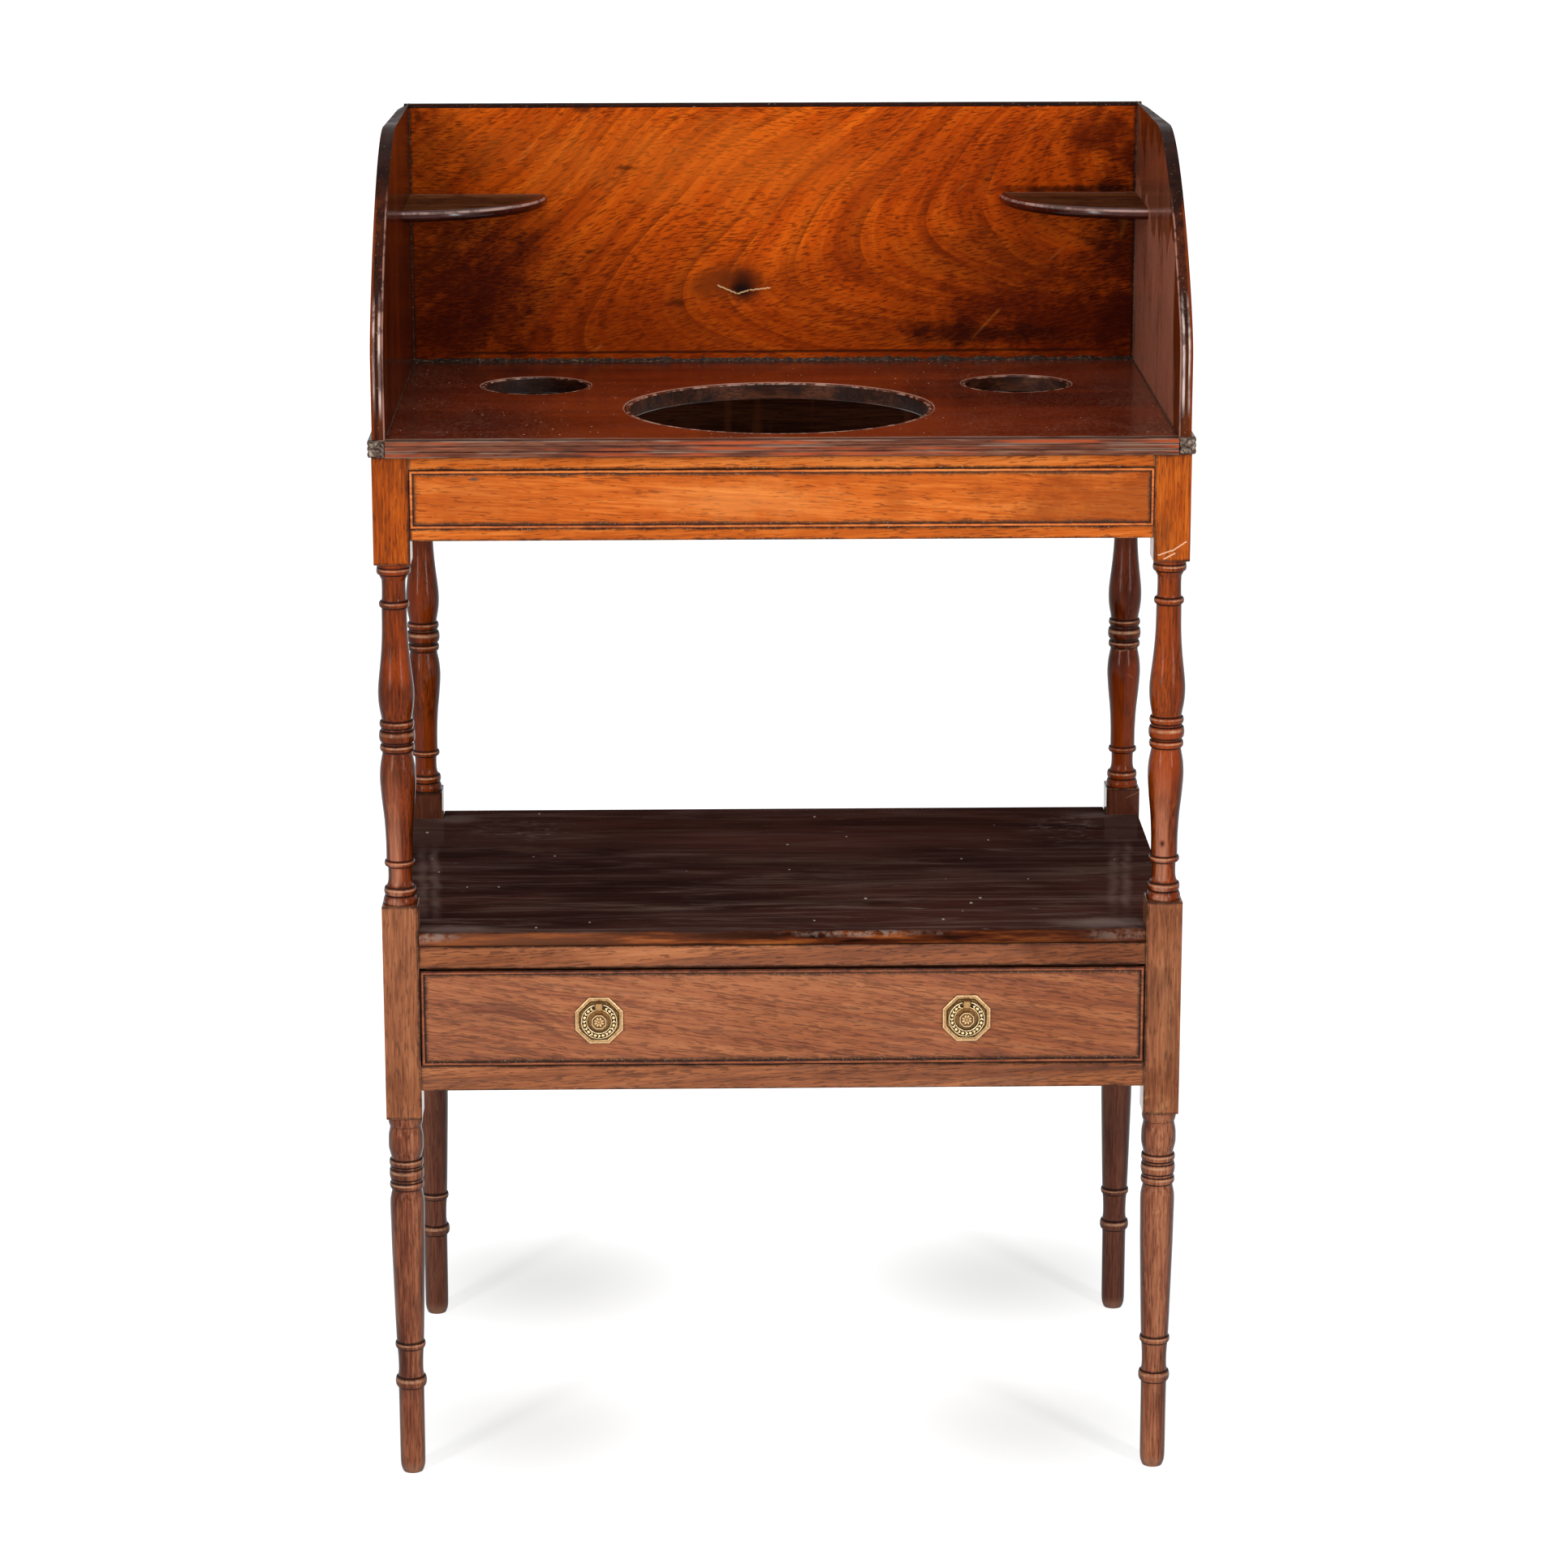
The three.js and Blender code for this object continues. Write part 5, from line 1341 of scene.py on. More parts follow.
def row_tree():
    """Sets copies of the base mesh at even steps round a circle in the XZ plane, turned to follow it."""
    w, given, result, tree = geometry_tree(
        "ornament_round",
        [("Copies", "Int"), ("Step Angle", "Float"), ("Circle Radius", "Float"), ("First Angle", "Float"),
         ("Lean", "Float"), ("Centre Place", "Vector"), ("Finish", "Material")])
    points = w.out("GeometryNodePoints", {"Count": given["Copies"]})
    index = w.out("GeometryNodeInputIndex")
    angle = index * given["Step Angle"] + given["First Angle"]
    x = w.maths("COSINE", angle) * given["Circle Radius"]
    z = w.maths("SINE", angle) * given["Circle Radius"]
    placed = w.out("GeometryNodeSetPosition", {"Geometry": points, "Position": w.joined(x, 0.0, z)})
    turn = w.joined(0.0, (angle + given["Lean"]) * -1.0, 0.0)
    values = {"Points": placed, "Instance": given["Geometry"], "Rotation": turn}
    copies = w.out("GeometryNodeInstanceOnPoints", values)
    moved = w.out("GeometryNodeTransform", {"Geometry": copies, "Translation": given["Centre Place"]})
    closing(w, moved, given["Finish"], result)
    return tree


def border_tree():
    """Sets dots along an eight-sided border in the XZ plane."""
    w, given, result, tree = geometry_tree(
        "dotted_border",
        [("Dots", "Int"), ("Corner Radius", "Float"), ("Centre Place", "Vector"), ("Finish", "Material")])
    ring = w.out("GeometryNodeCurvePrimitiveCircle", {"Resolution": 8, "Radius": given["Corner Radius"]})
    upright = w.out("GeometryNodeTransform", {"Geometry": ring, "Rotation": (math.pi / 2, math.pi / 8, 0.0)})
    spaced = w.out("GeometryNodeResampleCurve", {"Curve": upright, "Count": given["Dots"]})
    copies = w.out("GeometryNodeInstanceOnPoints", {"Points": spaced, "Instance": given["Geometry"]})
    moved = w.out("GeometryNodeTransform", {"Geometry": copies, "Translation": given["Centre Place"]})
    closing(w, moved, given["Finish"], result)
    return tree


# Legs

HALF_BLOCK = 14 * MM
TURNING_FACETS = 56
QUIRK_REACH = 0.95 * MM
RING_STEPS = 14
HIGHLIGHT_HEIGHT, HIGHLIGHT_SPREAD = 0.66, 0.13  # where a highlight is painted on a ring's upper side, in shares of its section
# ("curve", (height share, radius share)...) and ("ring", centre, half height, radius, root radius)
LOWER_TURNING_SHARES = [
    ("curve", (0, 0.565), (0.006, 0.62), (0.016, 0.68), (0.035, 0.706), (0.13, 0.713), (0.225, 0.721),
     (0.2425, 0.735)),
    ("ring", 0.257, 0.0145, 0.89, 0.75),
    ("curve", (0.2715, 0.745), (0.285, 0.708), (0.30, 0.70), (0.333, 0.722), (0.3522, 0.76)),
    ("ring", 0.3607, 0.0085, 0.862, 0.77),
    ("curve", (0.3692, 0.775), (0.42, 0.808), (0.53, 0.869), (0.64, 0.928), (0.694, 0.945), (0.748, 0.962),
     (0.769, 0.946), (0.783, 0.891), (0.794, 0.842), (0.7995, 0.84)),
    ("ring", 0.809, 0.0095, 0.957, 0.86),
    ("curve", (0.8185, 0.885), (0.823, 0.897), (0.8275, 0.895)),
    ("ring", 0.841, 0.0135, 0.963, 0.9),
    ("curve", (0.8545, 0.9), (0.858, 0.906), (0.8625, 0.885)),
    ("ring", 0.872, 0.0095, 0.956, 0.86),
    ("curve", (0.8815, 0.85), (0.886, 0.844), (0.90, 0.916), (0.913, 0.969), (0.927, 0.975), (0.947, 0.959),
     (0.961, 0.904), (0.972, 0.863)),
    ("curve", (0.9735, 0.90), (0.978, 0.93), (0.985, 0.96), (1, 0.964)),
]
UPPER_TURNING_SHARES = [
    ("curve", (0, 0.943), (0.010, 0.943), (0.018, 0.90), (0.025, 0.83)),
    ("ring", 0.037, 0.012, 0.9, 0.8),
    ("curve", (0.049, 0.79), (0.058, 0.70), (0.073, 0.654), (0.104, 0.654), (0.1106, 0.68)),
    ("ring", 0.1196, 0.009, 0.85, 0.72),
    ("curve", (0.1286, 0.735), (0.15, 0.732), (0.19, 0.74), (0.25, 0.80), (0.307, 0.91), (0.35, 0.976),
     (0.372, 0.992), (0.394, 0.975), (0.415, 0.93), (0.444, 0.825), (0.4505, 0.815)),
    ("ring", 0.461, 0.0105, 0.95, 0.83),
    ("curve", (0.4715, 0.845), (0.475, 0.857), (0.4785, 0.86)),
    ("ring", 0.4955, 0.017, 0.99, 0.87),
    ("curve", (0.5125, 0.86), (0.516, 0.864), (0.5205, 0.85)),
    ("ring", 0.531, 0.0105, 0.95, 0.83),
    ("curve", (0.5415, 0.82), (0.552, 0.846), (0.573, 0.92), (0.594, 0.971), (0.616, 0.99), (0.638, 0.978),
     (0.666, 0.926), (0.702, 0.845), (0.738, 0.775), (0.774, 0.725), (0.81, 0.70), (0.86, 0.689),
     (0.8705, 0.69)),
    ("ring", 0.88, 0.0095, 0.83, 0.70),
    ("curve", (0.8895, 0.69), (0.899, 0.661), (0.949, 0.661), (0.959, 0.74), (0.9675, 0.80)),
    ("ring", 0.9775, 0.010, 0.93, 0.84),
    ("curve", (0.9875, 0.90), (1, 0.914)),
]


def smoothed(points):
    """A smooth line through the points, in five steps from each to the next."""
    line, steps = [], 5
    for i in range(len(points) - 1):
        before, after = points[max(i - 1, 0)], points[min(i + 2, len(points) - 1)]
        here, there = points[i], points[i + 1]
        for s in range(steps):
            t = s / steps
            value = []
            for k in (0, 1):
                rise_in = (there[k] - before[k]) / max(there[0] - before[0], 1e-9) * (there[0] - here[0])
                rise_out = (after[k] - here[k]) / max(after[0] - here[0], 1e-9) * (there[0] - here[0])
                value.append((2 * t ** 3 - 3 * t ** 2 + 1) * here[k] + (t ** 3 - 2 * t ** 2 + t) * rise_in
                             + (-2 * t ** 3 + 3 * t ** 2) * there[k] + (t ** 3 - t ** 2) * rise_out)
            line.append(tuple(value))
    return line + [tuple(points[-1])]


def turning_line(shares, bottom, top):
    """(height, radius, quirk) points of one turning. quirk: 1 in a groove, -1 where a highlight is painted on
    a ring's crest.
    """
    outline, grooves = [], []
    for kind, *values in shares:
        if kind == "curve":
            outline += [(height, radius, 0.0) for height, radius in smoothed(values)]
            continue
        centre, half, radius, root = values
        grooves += [centre - half, centre + half]
        for step in range(RING_STEPS + 1):
            angle = math.pi * step / RING_STEPS
            # a highlight painted on the upper side of the ring's crest
            rubbed = math.exp(-((angle / math.pi - HIGHLIGHT_HEIGHT) / HIGHLIGHT_SPREAD) ** 2)
            out = root + (radius - root) * math.sin(angle) ** 0.8
            outline.append((centre - half * math.cos(angle), out, rubbed))
    length = top - bottom
    placed = []
    for height, radius, rubbed in outline:
        depth = math.exp(-(min(abs(height - groove) for groove in grooves) * length / QUIRK_REACH) ** 2)
        if bottom > 0 or height > 0.5:
            end = min(height, 1 - height) * length
            depth = max(depth, 0.7 * math.exp(-(end / QUIRK_REACH) ** 2))
        placed.append((bottom + height * length, radius * HALF_BLOCK, depth - rubbed))
    return placed


def line_mesh(line):
    """An upright line whose points carry a radius and a quirk."""
    mesh = bpy.data.meshes.new("turning_line")
    mesh.from_pydata([(0, 0, z) for z, _, _ in line], [(i, i + 1) for i in range(len(line) - 1)], [])
    mesh.attributes.new("turned_radius", "FLOAT", "POINT").data.foreach_set("value", [r for _, r, _ in line])
    mesh.attributes.new("quirk", "FLOAT", "POINT").data.foreach_set("value", [q for _, _, q in line])
    return mesh


def legs(wood):
    """Four posts: two turned lengths and two square blocks each."""
    tree = turned_post_tree()
    lengths = ((LOWER_TURNING_SHARES, 0.0, LOWER_BLOCK[0]),
               (UPPER_TURNING_SHARES, LOWER_BLOCK[1], UPPER_BLOCK[0]))
    for end in ("front", "rear"):
        for side in ("left", "right"):
            node = f"leg_{end}_{side}"
            low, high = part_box(node)
            axis = Vector(((low.x + high.x) / 2, (low.y + high.y) / 2, 0))
            shape = Shape()
            for shares, bottom, top in lengths:
                line = line_mesh(turning_line(shares, bottom, top))
                made, quirks = grown(line, tree, facets=TURNING_FACETS, axis_place=axis, finish=wood)
                shape.add(made, quirks=quirks)
            for bottom, top in (LOWER_BLOCK, UPPER_BLOCK):
                corner_low = (axis.x - HALF_BLOCK, axis.y - HALF_BLOCK, bottom)
                corner_high = (axis.x + HALF_BLOCK, axis.y + HALF_BLOCK, top)
                outward = Vector((FAR if side == "right" else -FAR, FAR if end == "rear" else -FAR, 0))
                dirt_low = [min(corner_low[i], corner_low[i] + outward[i]) for i in range(3)]
                dirt_high = [max(corner_high[i], corner_high[i] + outward[i]) for i in range(3)]
                shape.add(block(corner_low, corner_high, 0.7 * MM), corners=(dirt_low, dirt_high))
            piece(f"turned_leg_{end}_{side}", shape, [wood], "turned_wood", "frame", node)


# Top, edges and gallery

BASIN = (0.0, -48.25 * MM, 116.8 * MM, 4.9 * MM)
BEAKERS = [(side * 193 * MM, 61.75 * MM, 41 * MM, 4.2 * MM) for side in (-1, 1)]
QUIRK_DEPTH, QUIRK_WIDTH = 1.4 * MM, 1.6 * MM


def circle(centre_x, centre_y, radius, count):
    angles = [2 * math.pi * i / count for i in range(count)]
    return [(centre_x + radius * math.cos(angle), centre_y + radius * math.sin(angle)) for angle in angles]


def hole_rim(centre_x, centre_y, radius, rim, top, bottom, segments):
    """A hole's moulded rim: a quirk, a bead and the wall below. Returns shape, finishes and quirks."""
    outer = radius + rim
    bead_out = outer - QUIRK_WIDTH
    bead_mid, bead_half = (bead_out + radius) / 2, (bead_out - radius) / 2
    section = [(outer, top), (outer - 0.9 * MM, top - 0.2 * MM),
               (outer - QUIRK_WIDTH * 0.75, top - QUIRK_DEPTH)]
    # below 0 takes the painted highlight along the outer edge; the bead's low values take the painted
    # highlight on its crest
    depths = [-1.0, -0.8, 1.0]
    for step in range(9):
        angle = math.pi * step / 8
        height = top - QUIRK_DEPTH * 0.9 + (QUIRK_DEPTH * 0.8) * math.sin(angle)
        section.append((bead_mid + bead_half * math.cos(angle), height))
        depths.append(0.7 if step == 0 else 0.12)
    wall_from = len(section)
    section += [(radius - 0.1 * MM, top - 2.2 * MM), (radius, bottom + 0.8 * MM),
                (radius + 0.8 * MM, bottom), (outer, bottom)]
    depths += [0.3, 0.2, 0.2, 0.2]
    finishes = [1 if k >= wall_from - 1 else 2 for k in range(len(section))] * segments
    return ring_run(section, (centre_x, centre_y), segments), finishes, depths * segments


def top_board(wood, wall, rim_finish):
    """The top board with its three holes and their moulded rims."""
    low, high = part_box("top_board")
    loops = [[(low.x, low.y), (high.x, low.y), (high.x, high.y), (low.x, high.y)]]
    shape = Shape()
    for (x, y, radius, rim), segments in [(BASIN, 128)] + [(b, 72) for b in BEAKERS]:
        loops.append(circle(x, y, radius + rim, segments))
        made, finishes, quirks = hole_rim(x, y, radius, rim, high.z, low.z, segments)
        shape.add(made, finishes, quirks=quirks)
    shape.add(sawn(loops, low.z, high.z, (0, 1, 2)), corners=(low, high))
    piece("polished_top_board", shape, [wood, wall, rim_finish], "top_wood", "frame", "top_board")


REED_COUNT, REED_RISE, REED_STEPS = 3, 1.4 * MM, 8
END_GRAIN_HALF, END_GRAIN_INSET = 3.2 * MM, 0.4 * MM


def reeded_section(inner, outer, bottom, top):
    """(depth, height) points and quirks of a reeded edge. outer may lie on either side of inner."""
    pitch = (top - bottom) / REED_COUNT
    outward = 1 if outer > inner else -1
    section, quirks = [(inner, top), (inner, bottom)], [0.35, 0.6]
    for reed in range(REED_COUNT):
        for step in range(0 if reed == 0 else 1, REED_STEPS + 1):
            angle = math.pi * step / REED_STEPS
            fullness = math.sin(angle) ** 0.7
            height = bottom + pitch * (reed + 0.5 - math.cos(angle) / 2)
            section.append((outer - outward * REED_RISE * (1 - fullness), height))
            quirks.append((1 - fullness) ** 0.7)
    return section, quirks


def worn_end(middle, half):
    """A lump of end grain at the front of a reeded edge, its corners worn away."""
    maker = bmesh.new()
    bmesh.ops.create_cube(maker, size=1)
    bmesh.ops.subdivide_edges(maker, edges=maker.edges[:], cuts=11, use_grid_fill=True)
    for vert in maker.verts:
        share = vert.co * 2
        corner = max(abs(share.x), abs(share.z)) ** 6 * 0.35 + (share.length / 1.7) ** 6 * 0.4
        lump = 0.5 + 0.5 * noise.fractal(vert.co * 3.1 + middle * 40, 0.9, 2.1, 4)
        inward = (0.3 + lump * 1.1 + corner) * MM
        co = middle + Vector([share[i] * half[i] for i in range(3)])
        if share.y < -0.99:
            co.y += inward
        co.x -= math.copysign(inward * 0.5, share.x) * abs(share.x) ** 8
        co.z -= math.copysign(inward * 0.5, share.z) * abs(share.z) ** 8
        vert.co = co
    return taken(maker)


def reeded_side(side, wood, ends):
    """The reeded strip at one side, with its worn end grain in front."""
    low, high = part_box(f"edge_moulding_{side}")
    outer, inner = (low.x, high.x) if side == "left" else (high.x, low.x)
    section, quirks = reeded_section(inner, outer, low.z, high.z)
    steps = 40
    start = low.y + END_GRAIN_HALF * 2 - 0.9 * MM
    shape = Shape().add(run(section, start, high.y, 1, steps), quirks=quirks * (steps + 1))
    reach = (low.x + END_GRAIN_INSET, high.x) if side == "left" else (low.x, high.x - END_GRAIN_INSET)
    middle = Vector((sum(reach) / 2, low.y + END_GRAIN_HALF, (low.z + high.z) / 2))
    half = Vector(((reach[1] - reach[0]) / 2, END_GRAIN_HALF, (high.z - low.z) / 2))
    shape.add(worn_end(middle, half), finish=1)
    piece(f"reeded_{side}_edge", shape, [wood, ends], "top_wood", "frame", f"edge_moulding_{side}")


def edge_mouldings(front_wood, side_wood, ends):
    """The reeded edges of the top: a slightly uneven one in front and one at each side."""
    low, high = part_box("edge_moulding_front")
    section, quirks = reeded_section(high.y, low.y, low.z, high.z)
    steps = 70
    shape = Shape().add(run(section, low.x, high.x, 0, steps, 0.25 * MM), quirks=quirks * (steps + 1))
    shape.points = [(x, max(y, low.y), z) for x, y, z in shape.points]
    piece("reeded_front_edge", shape, [front_wood], "top_wood", "frame", "edge_moulding_front")
    for side in ("left", "right"):
        reeded_side(side, side_wood, ends)


SWEEP_STRAIGHT, SWEEP_PULL = 60 * MM, 32 * MM  # how far the front edge stays upright, and is drawn on
SWEEP_BACK, SWEEP_LENGTH = 112 * MM, 201 * MM  # where the curve bends to level, and where it ends
WORN_FROM, WORN_DROP = 194 * MM, 5.5 * MM


def gallery_side_outline(low, high, foot):
    """(y, z) outline: upright front, a swept shoulder, and a level top."""
    front, rear, top = low.y, high.y, high.z
    straight = foot + SWEEP_STRAIGHT
    corners = ((front, straight), (front, straight + SWEEP_PULL), (front + SWEEP_BACK, top),
               (front + SWEEP_LENGTH, top))
    points = [(rear, foot), (front, foot)]
    for step in range(33):
        t = step / 32
        shares = ((1 - t) ** 3, 3 * (1 - t) ** 2 * t, 3 * (1 - t) * t * t, t ** 3)
        points.append(tuple(sum(share * corner[k] for share, corner in zip(shares, corners)) for k in (0, 1)))
    return points + [(rear, top)]


def worn_corner(point, inner, outer, start, end, drop):
    """Lowers the outer top corner of a gallery side, more and more towards the back."""
    x, y, z = point
    outward = (x - inner) / (outer - inner)
    rearward = min(max((y - start) / (end - start), 0.0), 1.0)
    return x, y, z - drop * outward * outward * rearward * rearward


def face_middle(points, face):
    """The middle of a face."""
    return sum((Vector(points[i]) for i in face), Vector()) / len(face)


def gallery_back_board(wood, edge_wood, rear):
    """The back, with its top edge rounded between the sides and a rougher rear face."""
    low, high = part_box("gallery_back")
    outline = [(low.x, TOP_LEVEL), (high.x, TOP_LEVEL), (high.x, high.z), (low.x, high.z)]
    made = sawn([outline], low.y, high.y, (0, 2, 1), 3.2 * MM, 4,
                lambda a, b: min(a.z, b.z) > high.z - 1 * MM and abs(a.x - b.x) > 0.1)
    finishes = []
    for face in made[1]:
        middle = face_middle(made[0], face)
        at_rear = 2 if middle.y > high.y - 1 * MM else 0
        finishes.append(1 if middle.z > high.z - 3.1 * MM else at_rear)
    dirt_low = Vector((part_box("gallery_left")[1].x, low.y, TOP_LEVEL))
    dirt_high = Vector((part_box("gallery_right")[0].x, high.y, high.z)) + Vector((0, 0, 1))
    shape = Shape().add(made, finishes, corners=(dirt_low, dirt_high))
    piece("figured_gallery_back", shape, [wood, edge_wood, rear], "gallery_wood", "frame", "gallery_back")


def gallery_side(side, wood, edge_wood):
    """A swept side with rounded edges, worn low at its rear outer corner."""
    low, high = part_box(f"gallery_{side}")
    made = sawn([gallery_side_outline(low, high, TOP_LEVEL)], low.x, high.x, (1, 2, 0), 4.4 * MM, 6,
                lambda a, b: max(a.z, b.z) > TOP_LEVEL + 1 * MM and abs(a.x - b.x) < 1e-6)
    inner, outer = (high.x, low.x) if side == "left" else (low.x, high.x)
    points = [worn_corner(point, inner, outer, low.y + WORN_FROM, high.y, WORN_DROP)
              if point[2] > high.z - 6 * MM else point for point in made[0]]
    edges = [0 if len({round(points[i][0], 6) for i in face}) == 1 else 1 for face in made[1]]
    corners = ((low.x, low.y - 1, TOP_LEVEL), (high.x, high.y + 1, high.z + 1))
    piece(f"swept_gallery_{side}", Shape().add((points, made[1]), edges, corners=corners), [wood, edge_wood],
          "gallery_wood", "frame", f"gallery_{side}")


def corner_shelf(side, wood, top_wood):
    """A quarter-round shelf with a rounded curved edge."""
    low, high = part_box(f"corner_shelf_{side}")
    inward = 1 if side == "left" else -1
    corner_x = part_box("gallery_left")[1].x if side == "left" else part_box("gallery_right")[0].x
    corner_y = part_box("gallery_back")[0].y
    radius = max(high.y, corner_y) - low.y - max(high.y - corner_y, 0)
    outline = [(corner_x, corner_y)]
    for i in range(29):
        angle = math.pi / 2 * i / 28
        outline.append((corner_x + inward * radius * math.cos(angle), corner_y - radius * math.sin(angle)))

    def on_arc(a, b):
        return (all(abs(math.hypot(p.x - corner_x, p.y - corner_y) - radius) < 1e-5 for p in (a, b))
                and abs(a.z - b.z) < 1e-6)

    made = sawn([outline], low.z, high.z, (0, 1, 2), 4.0 * MM, 6, on_arc)
    tops = [1 if min(made[0][i][2] for i in face) > high.z - 0.05 * MM else 0 for face in made[1]]
    piece(f"rounded_corner_shelf_{side}", Shape().add(made, tops), [wood, top_wood], "gallery_wood", "frame",
          f"corner_shelf_{side}")


def gallery(back_wood, rear, side_wood, edge_wood, shelf, shelf_top):
    """The back, the sides and the corner shelves."""
    gallery_back_board(back_wood, edge_wood, rear)
    for side in ("left", "right"):
        gallery_side(side, side_wood, edge_wood)
        corner_shelf(side, shelf, shelf_top)


def dirt_bead(start, end, first, second, size):
    """A triangular bead run from start to end, reaching out along two directions."""
    start, end, first, second = (Vector(v) for v in (start, end, first, second))
    steps = max(int((end - start).length / (1.5 * MM)), 8)
    points = []
    for s in range(steps + 1):
        spot = start.lerp(end, s / steps)
        uneven = 0.85 + 0.45 * noise.noise(spot * 60) + 0.55 * noise.noise(spot * 330)
        reach = size * min(max(uneven, 0.3), 1.5)
        hidden = -0.1 * MM
        points += [spot + (first + second) * hidden, spot + first * reach + second * hidden,
                   spot + first * reach * 0.45 + second * reach * 0.45,
                   spot + second * reach + first * hidden]
    return points, skin(4, steps + 1)


def corner_dirt(dirt):
    """Uneven beads of old dirt where the gallery meets the top and itself."""
    left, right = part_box("gallery_left")[1].x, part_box("gallery_right")[0].x
    foot, back, top = TOP_LEVEL, GALLERY_FACE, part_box("gallery_back")[1].z
    shape = Shape()
    shape.add(dirt_bead((left, back, foot), (right, back, foot), (0, -1, 0), (0, 0, 1), 3.4 * MM))
    for x, inward in ((left, 1), (right, -1)):
        shape.add(dirt_bead((x, back, foot), (x, back, top - 4 * MM), (inward, 0, 0), (0, -1, 0), 0.9 * MM))
        shape.add(dirt_bead((x, -0.17, foot), (x, back, foot), (inward, 0, 0), (0, 0, 1), 0.8 * MM))
    piece("gallery_joint_dirt", shape, [dirt], "top_wood", "frame")


# Frieze, case, undertier and drawer

def rail(name, node, wood, slot, left, right):
    """A rail between the leg blocks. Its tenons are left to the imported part."""
    low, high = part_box(node)
    low, high = Vector((left, low.y, low.z)), Vector((right, high.y, high.z))
    shape = Shape().add(block(low, high, 0.5 * MM), corners=(low, high))
    piece(name, shape, [wood], slot, "frame", node)


def back_faces(points, faces, back):
    """1 for the faces at the back of a board and 0 for the others."""
    return [1 if all(points[i][1] > back - 0.4 * MM for i in face) else 0 for face in faces]


def apron(name, node, wood, inner, slot, low, high, inside):
    """An apron with its outer face polished and its inner face left rough."""
    axis = 0 if inside[0] else 1
    points, faces = block(low, high, 0.5 * MM)
    finishes = []
    for face in faces:
        centre = face_middle(points, face)
        edge = high[axis] if inside[axis] > 0 else low[axis]
        finishes.append(1 if abs(centre[axis] - edge) < 0.3 * MM else 0)
    shape = Shape().add((points, faces), finishes, corners=(low, high))
    piece(name, shape, [wood, inner], slot, "frame", node)


BEAD_WIDTH = 3 * MM


def inside_beads(low, high):
    """The corners of a front, as far as its cockbeads leave it open."""
    return (low + Vector((BEAD_WIDTH, 0, BEAD_WIDTH)), high - Vector((BEAD_WIDTH, 0, BEAD_WIDTH)))


def cockbeads(prefix, nodes, body, wood, slot, outer_dirt=1.0):
    """Four mitred half-round beads round a front. outer_dirt: how dirty their outer sides are."""
    boxes = {side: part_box(f"{nodes}_{side}") for side in ("top", "bottom", "left", "right")}
    x0, x1 = boxes["left"][0].x, boxes["right"][1].x
    z0, z1 = boxes["bottom"][0].z, boxes["top"][1].z
    front, back = boxes["top"][0].y, boxes["top"][1].y
    half = BEAD_WIDTH / 2
    profile = [(0.0, back)]
    for step in range(9):
        angle = math.pi * step / 8
        profile.append((half - half * math.cos(angle), front + half * (1 - math.sin(angle))))
    profile.append((BEAD_WIDTH, back))
    depths = [1.0] + [abs(math.cos(math.pi * step / 8)) ** 1.5 for step in range(9)] + [1.0]
    depths = [depth * outer_dirt if place < 3 else depth for place, depth in enumerate(depths)]
    steps = {"top": 40, "bottom": 40, "left": 6, "right": 6}
    for side, count in steps.items():
        points, quirks = [], []
        for s in range(count + 1):
            t = s / count
            for (inset, y), depth in zip(profile, depths):
                if side in ("top", "bottom"):
                    x = x0 + inset + (x1 - x0 - 2 * inset) * t
                    z = z1 - inset if side == "top" else z0 + inset
                else:
                    z = z0 + inset + (z1 - z0 - 2 * inset) * t
                    x = x0 + inset if side == "left" else x1 - inset
                points.append((x, y, z))
                quirks.append(depth)
        shape = Shape().add((points, skin(len(profile), count + 1)), quirks=quirks)
        piece(f"{prefix}_{side}", shape, [wood], slot, body, f"{nodes}_{side}")


def false_panel(panel, inner, left, right):
    """The false drawer panel between the leg blocks, rough at its back."""
    low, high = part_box("dummy_drawer_panel")
    low, high = Vector((left, low.y, low.z)), Vector((right, high.y, high.z))
    points, faces = block(low, high, 0.3 * MM)
    backs = back_faces(points, faces, high.y)
    shape = Shape().add((points, faces), backs, corners=inside_beads(low, high))
    piece("false_drawer_panel", shape, [panel, inner], "frieze_wood", "frame", "dummy_drawer_panel")


def aprons(level, slot, finishes, left, right):
    """The aprons at both sides and at the back of the frieze or the case."""
    front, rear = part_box("leg_front_left")[1].y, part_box("leg_rear_left")[0].y
    for at, inside in (("left", (1, 0)), ("right", (-1, 0))):
        low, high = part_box(f"{level}_apron_{at}")
        apron(f"{level}_{at}_apron", f"{level}_apron_{at}", finishes["side"], finishes["inner"], slot,
              Vector((low.x, front, low.z)), Vector((high.x, rear, high.z)), inside)
    low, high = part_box(f"{level}_apron_rear")
    apron(f"{level}_rear_apron", f"{level}_apron_rear", finishes["rear"], finishes["inner"], slot,
          Vector((left, low.y, low.z)), Vector((right, high.y, high.z)), (0, -1))


def carcase(finishes):
    """Frieze and case: rails, false drawer panel with its cockbeads, and aprons."""
    left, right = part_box("leg_front_left")[1].x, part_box("leg_front_right")[0].x
    for name, node, wood, slot in (("frieze_upper_rail", "frieze_top_rail", "frieze", "frieze_wood"),
                                   ("frieze_lower_rail", "frieze_bottom_rail", "frieze", "frieze_wood"),
                                   ("rail_over_drawer", "drawer_top_rail", "drawer_rail", "drawer_wood"),
                                   ("rail_under_drawer", "drawer_bottom_rail", "drawer_rail", "drawer_wood")):
        rail(name, node, finishes[wood], slot, left, right)
    false_panel(finishes["panel"], finishes["inner"], left, right)
    cockbeads("frieze_cockbead", "dummy_drawer_bead", "frame", finishes["frieze_bead"], "frieze_wood")
    aprons("frieze", "frieze_wood", finishes, left, right)
    aprons("case", "drawer_wood", finishes, left, right)


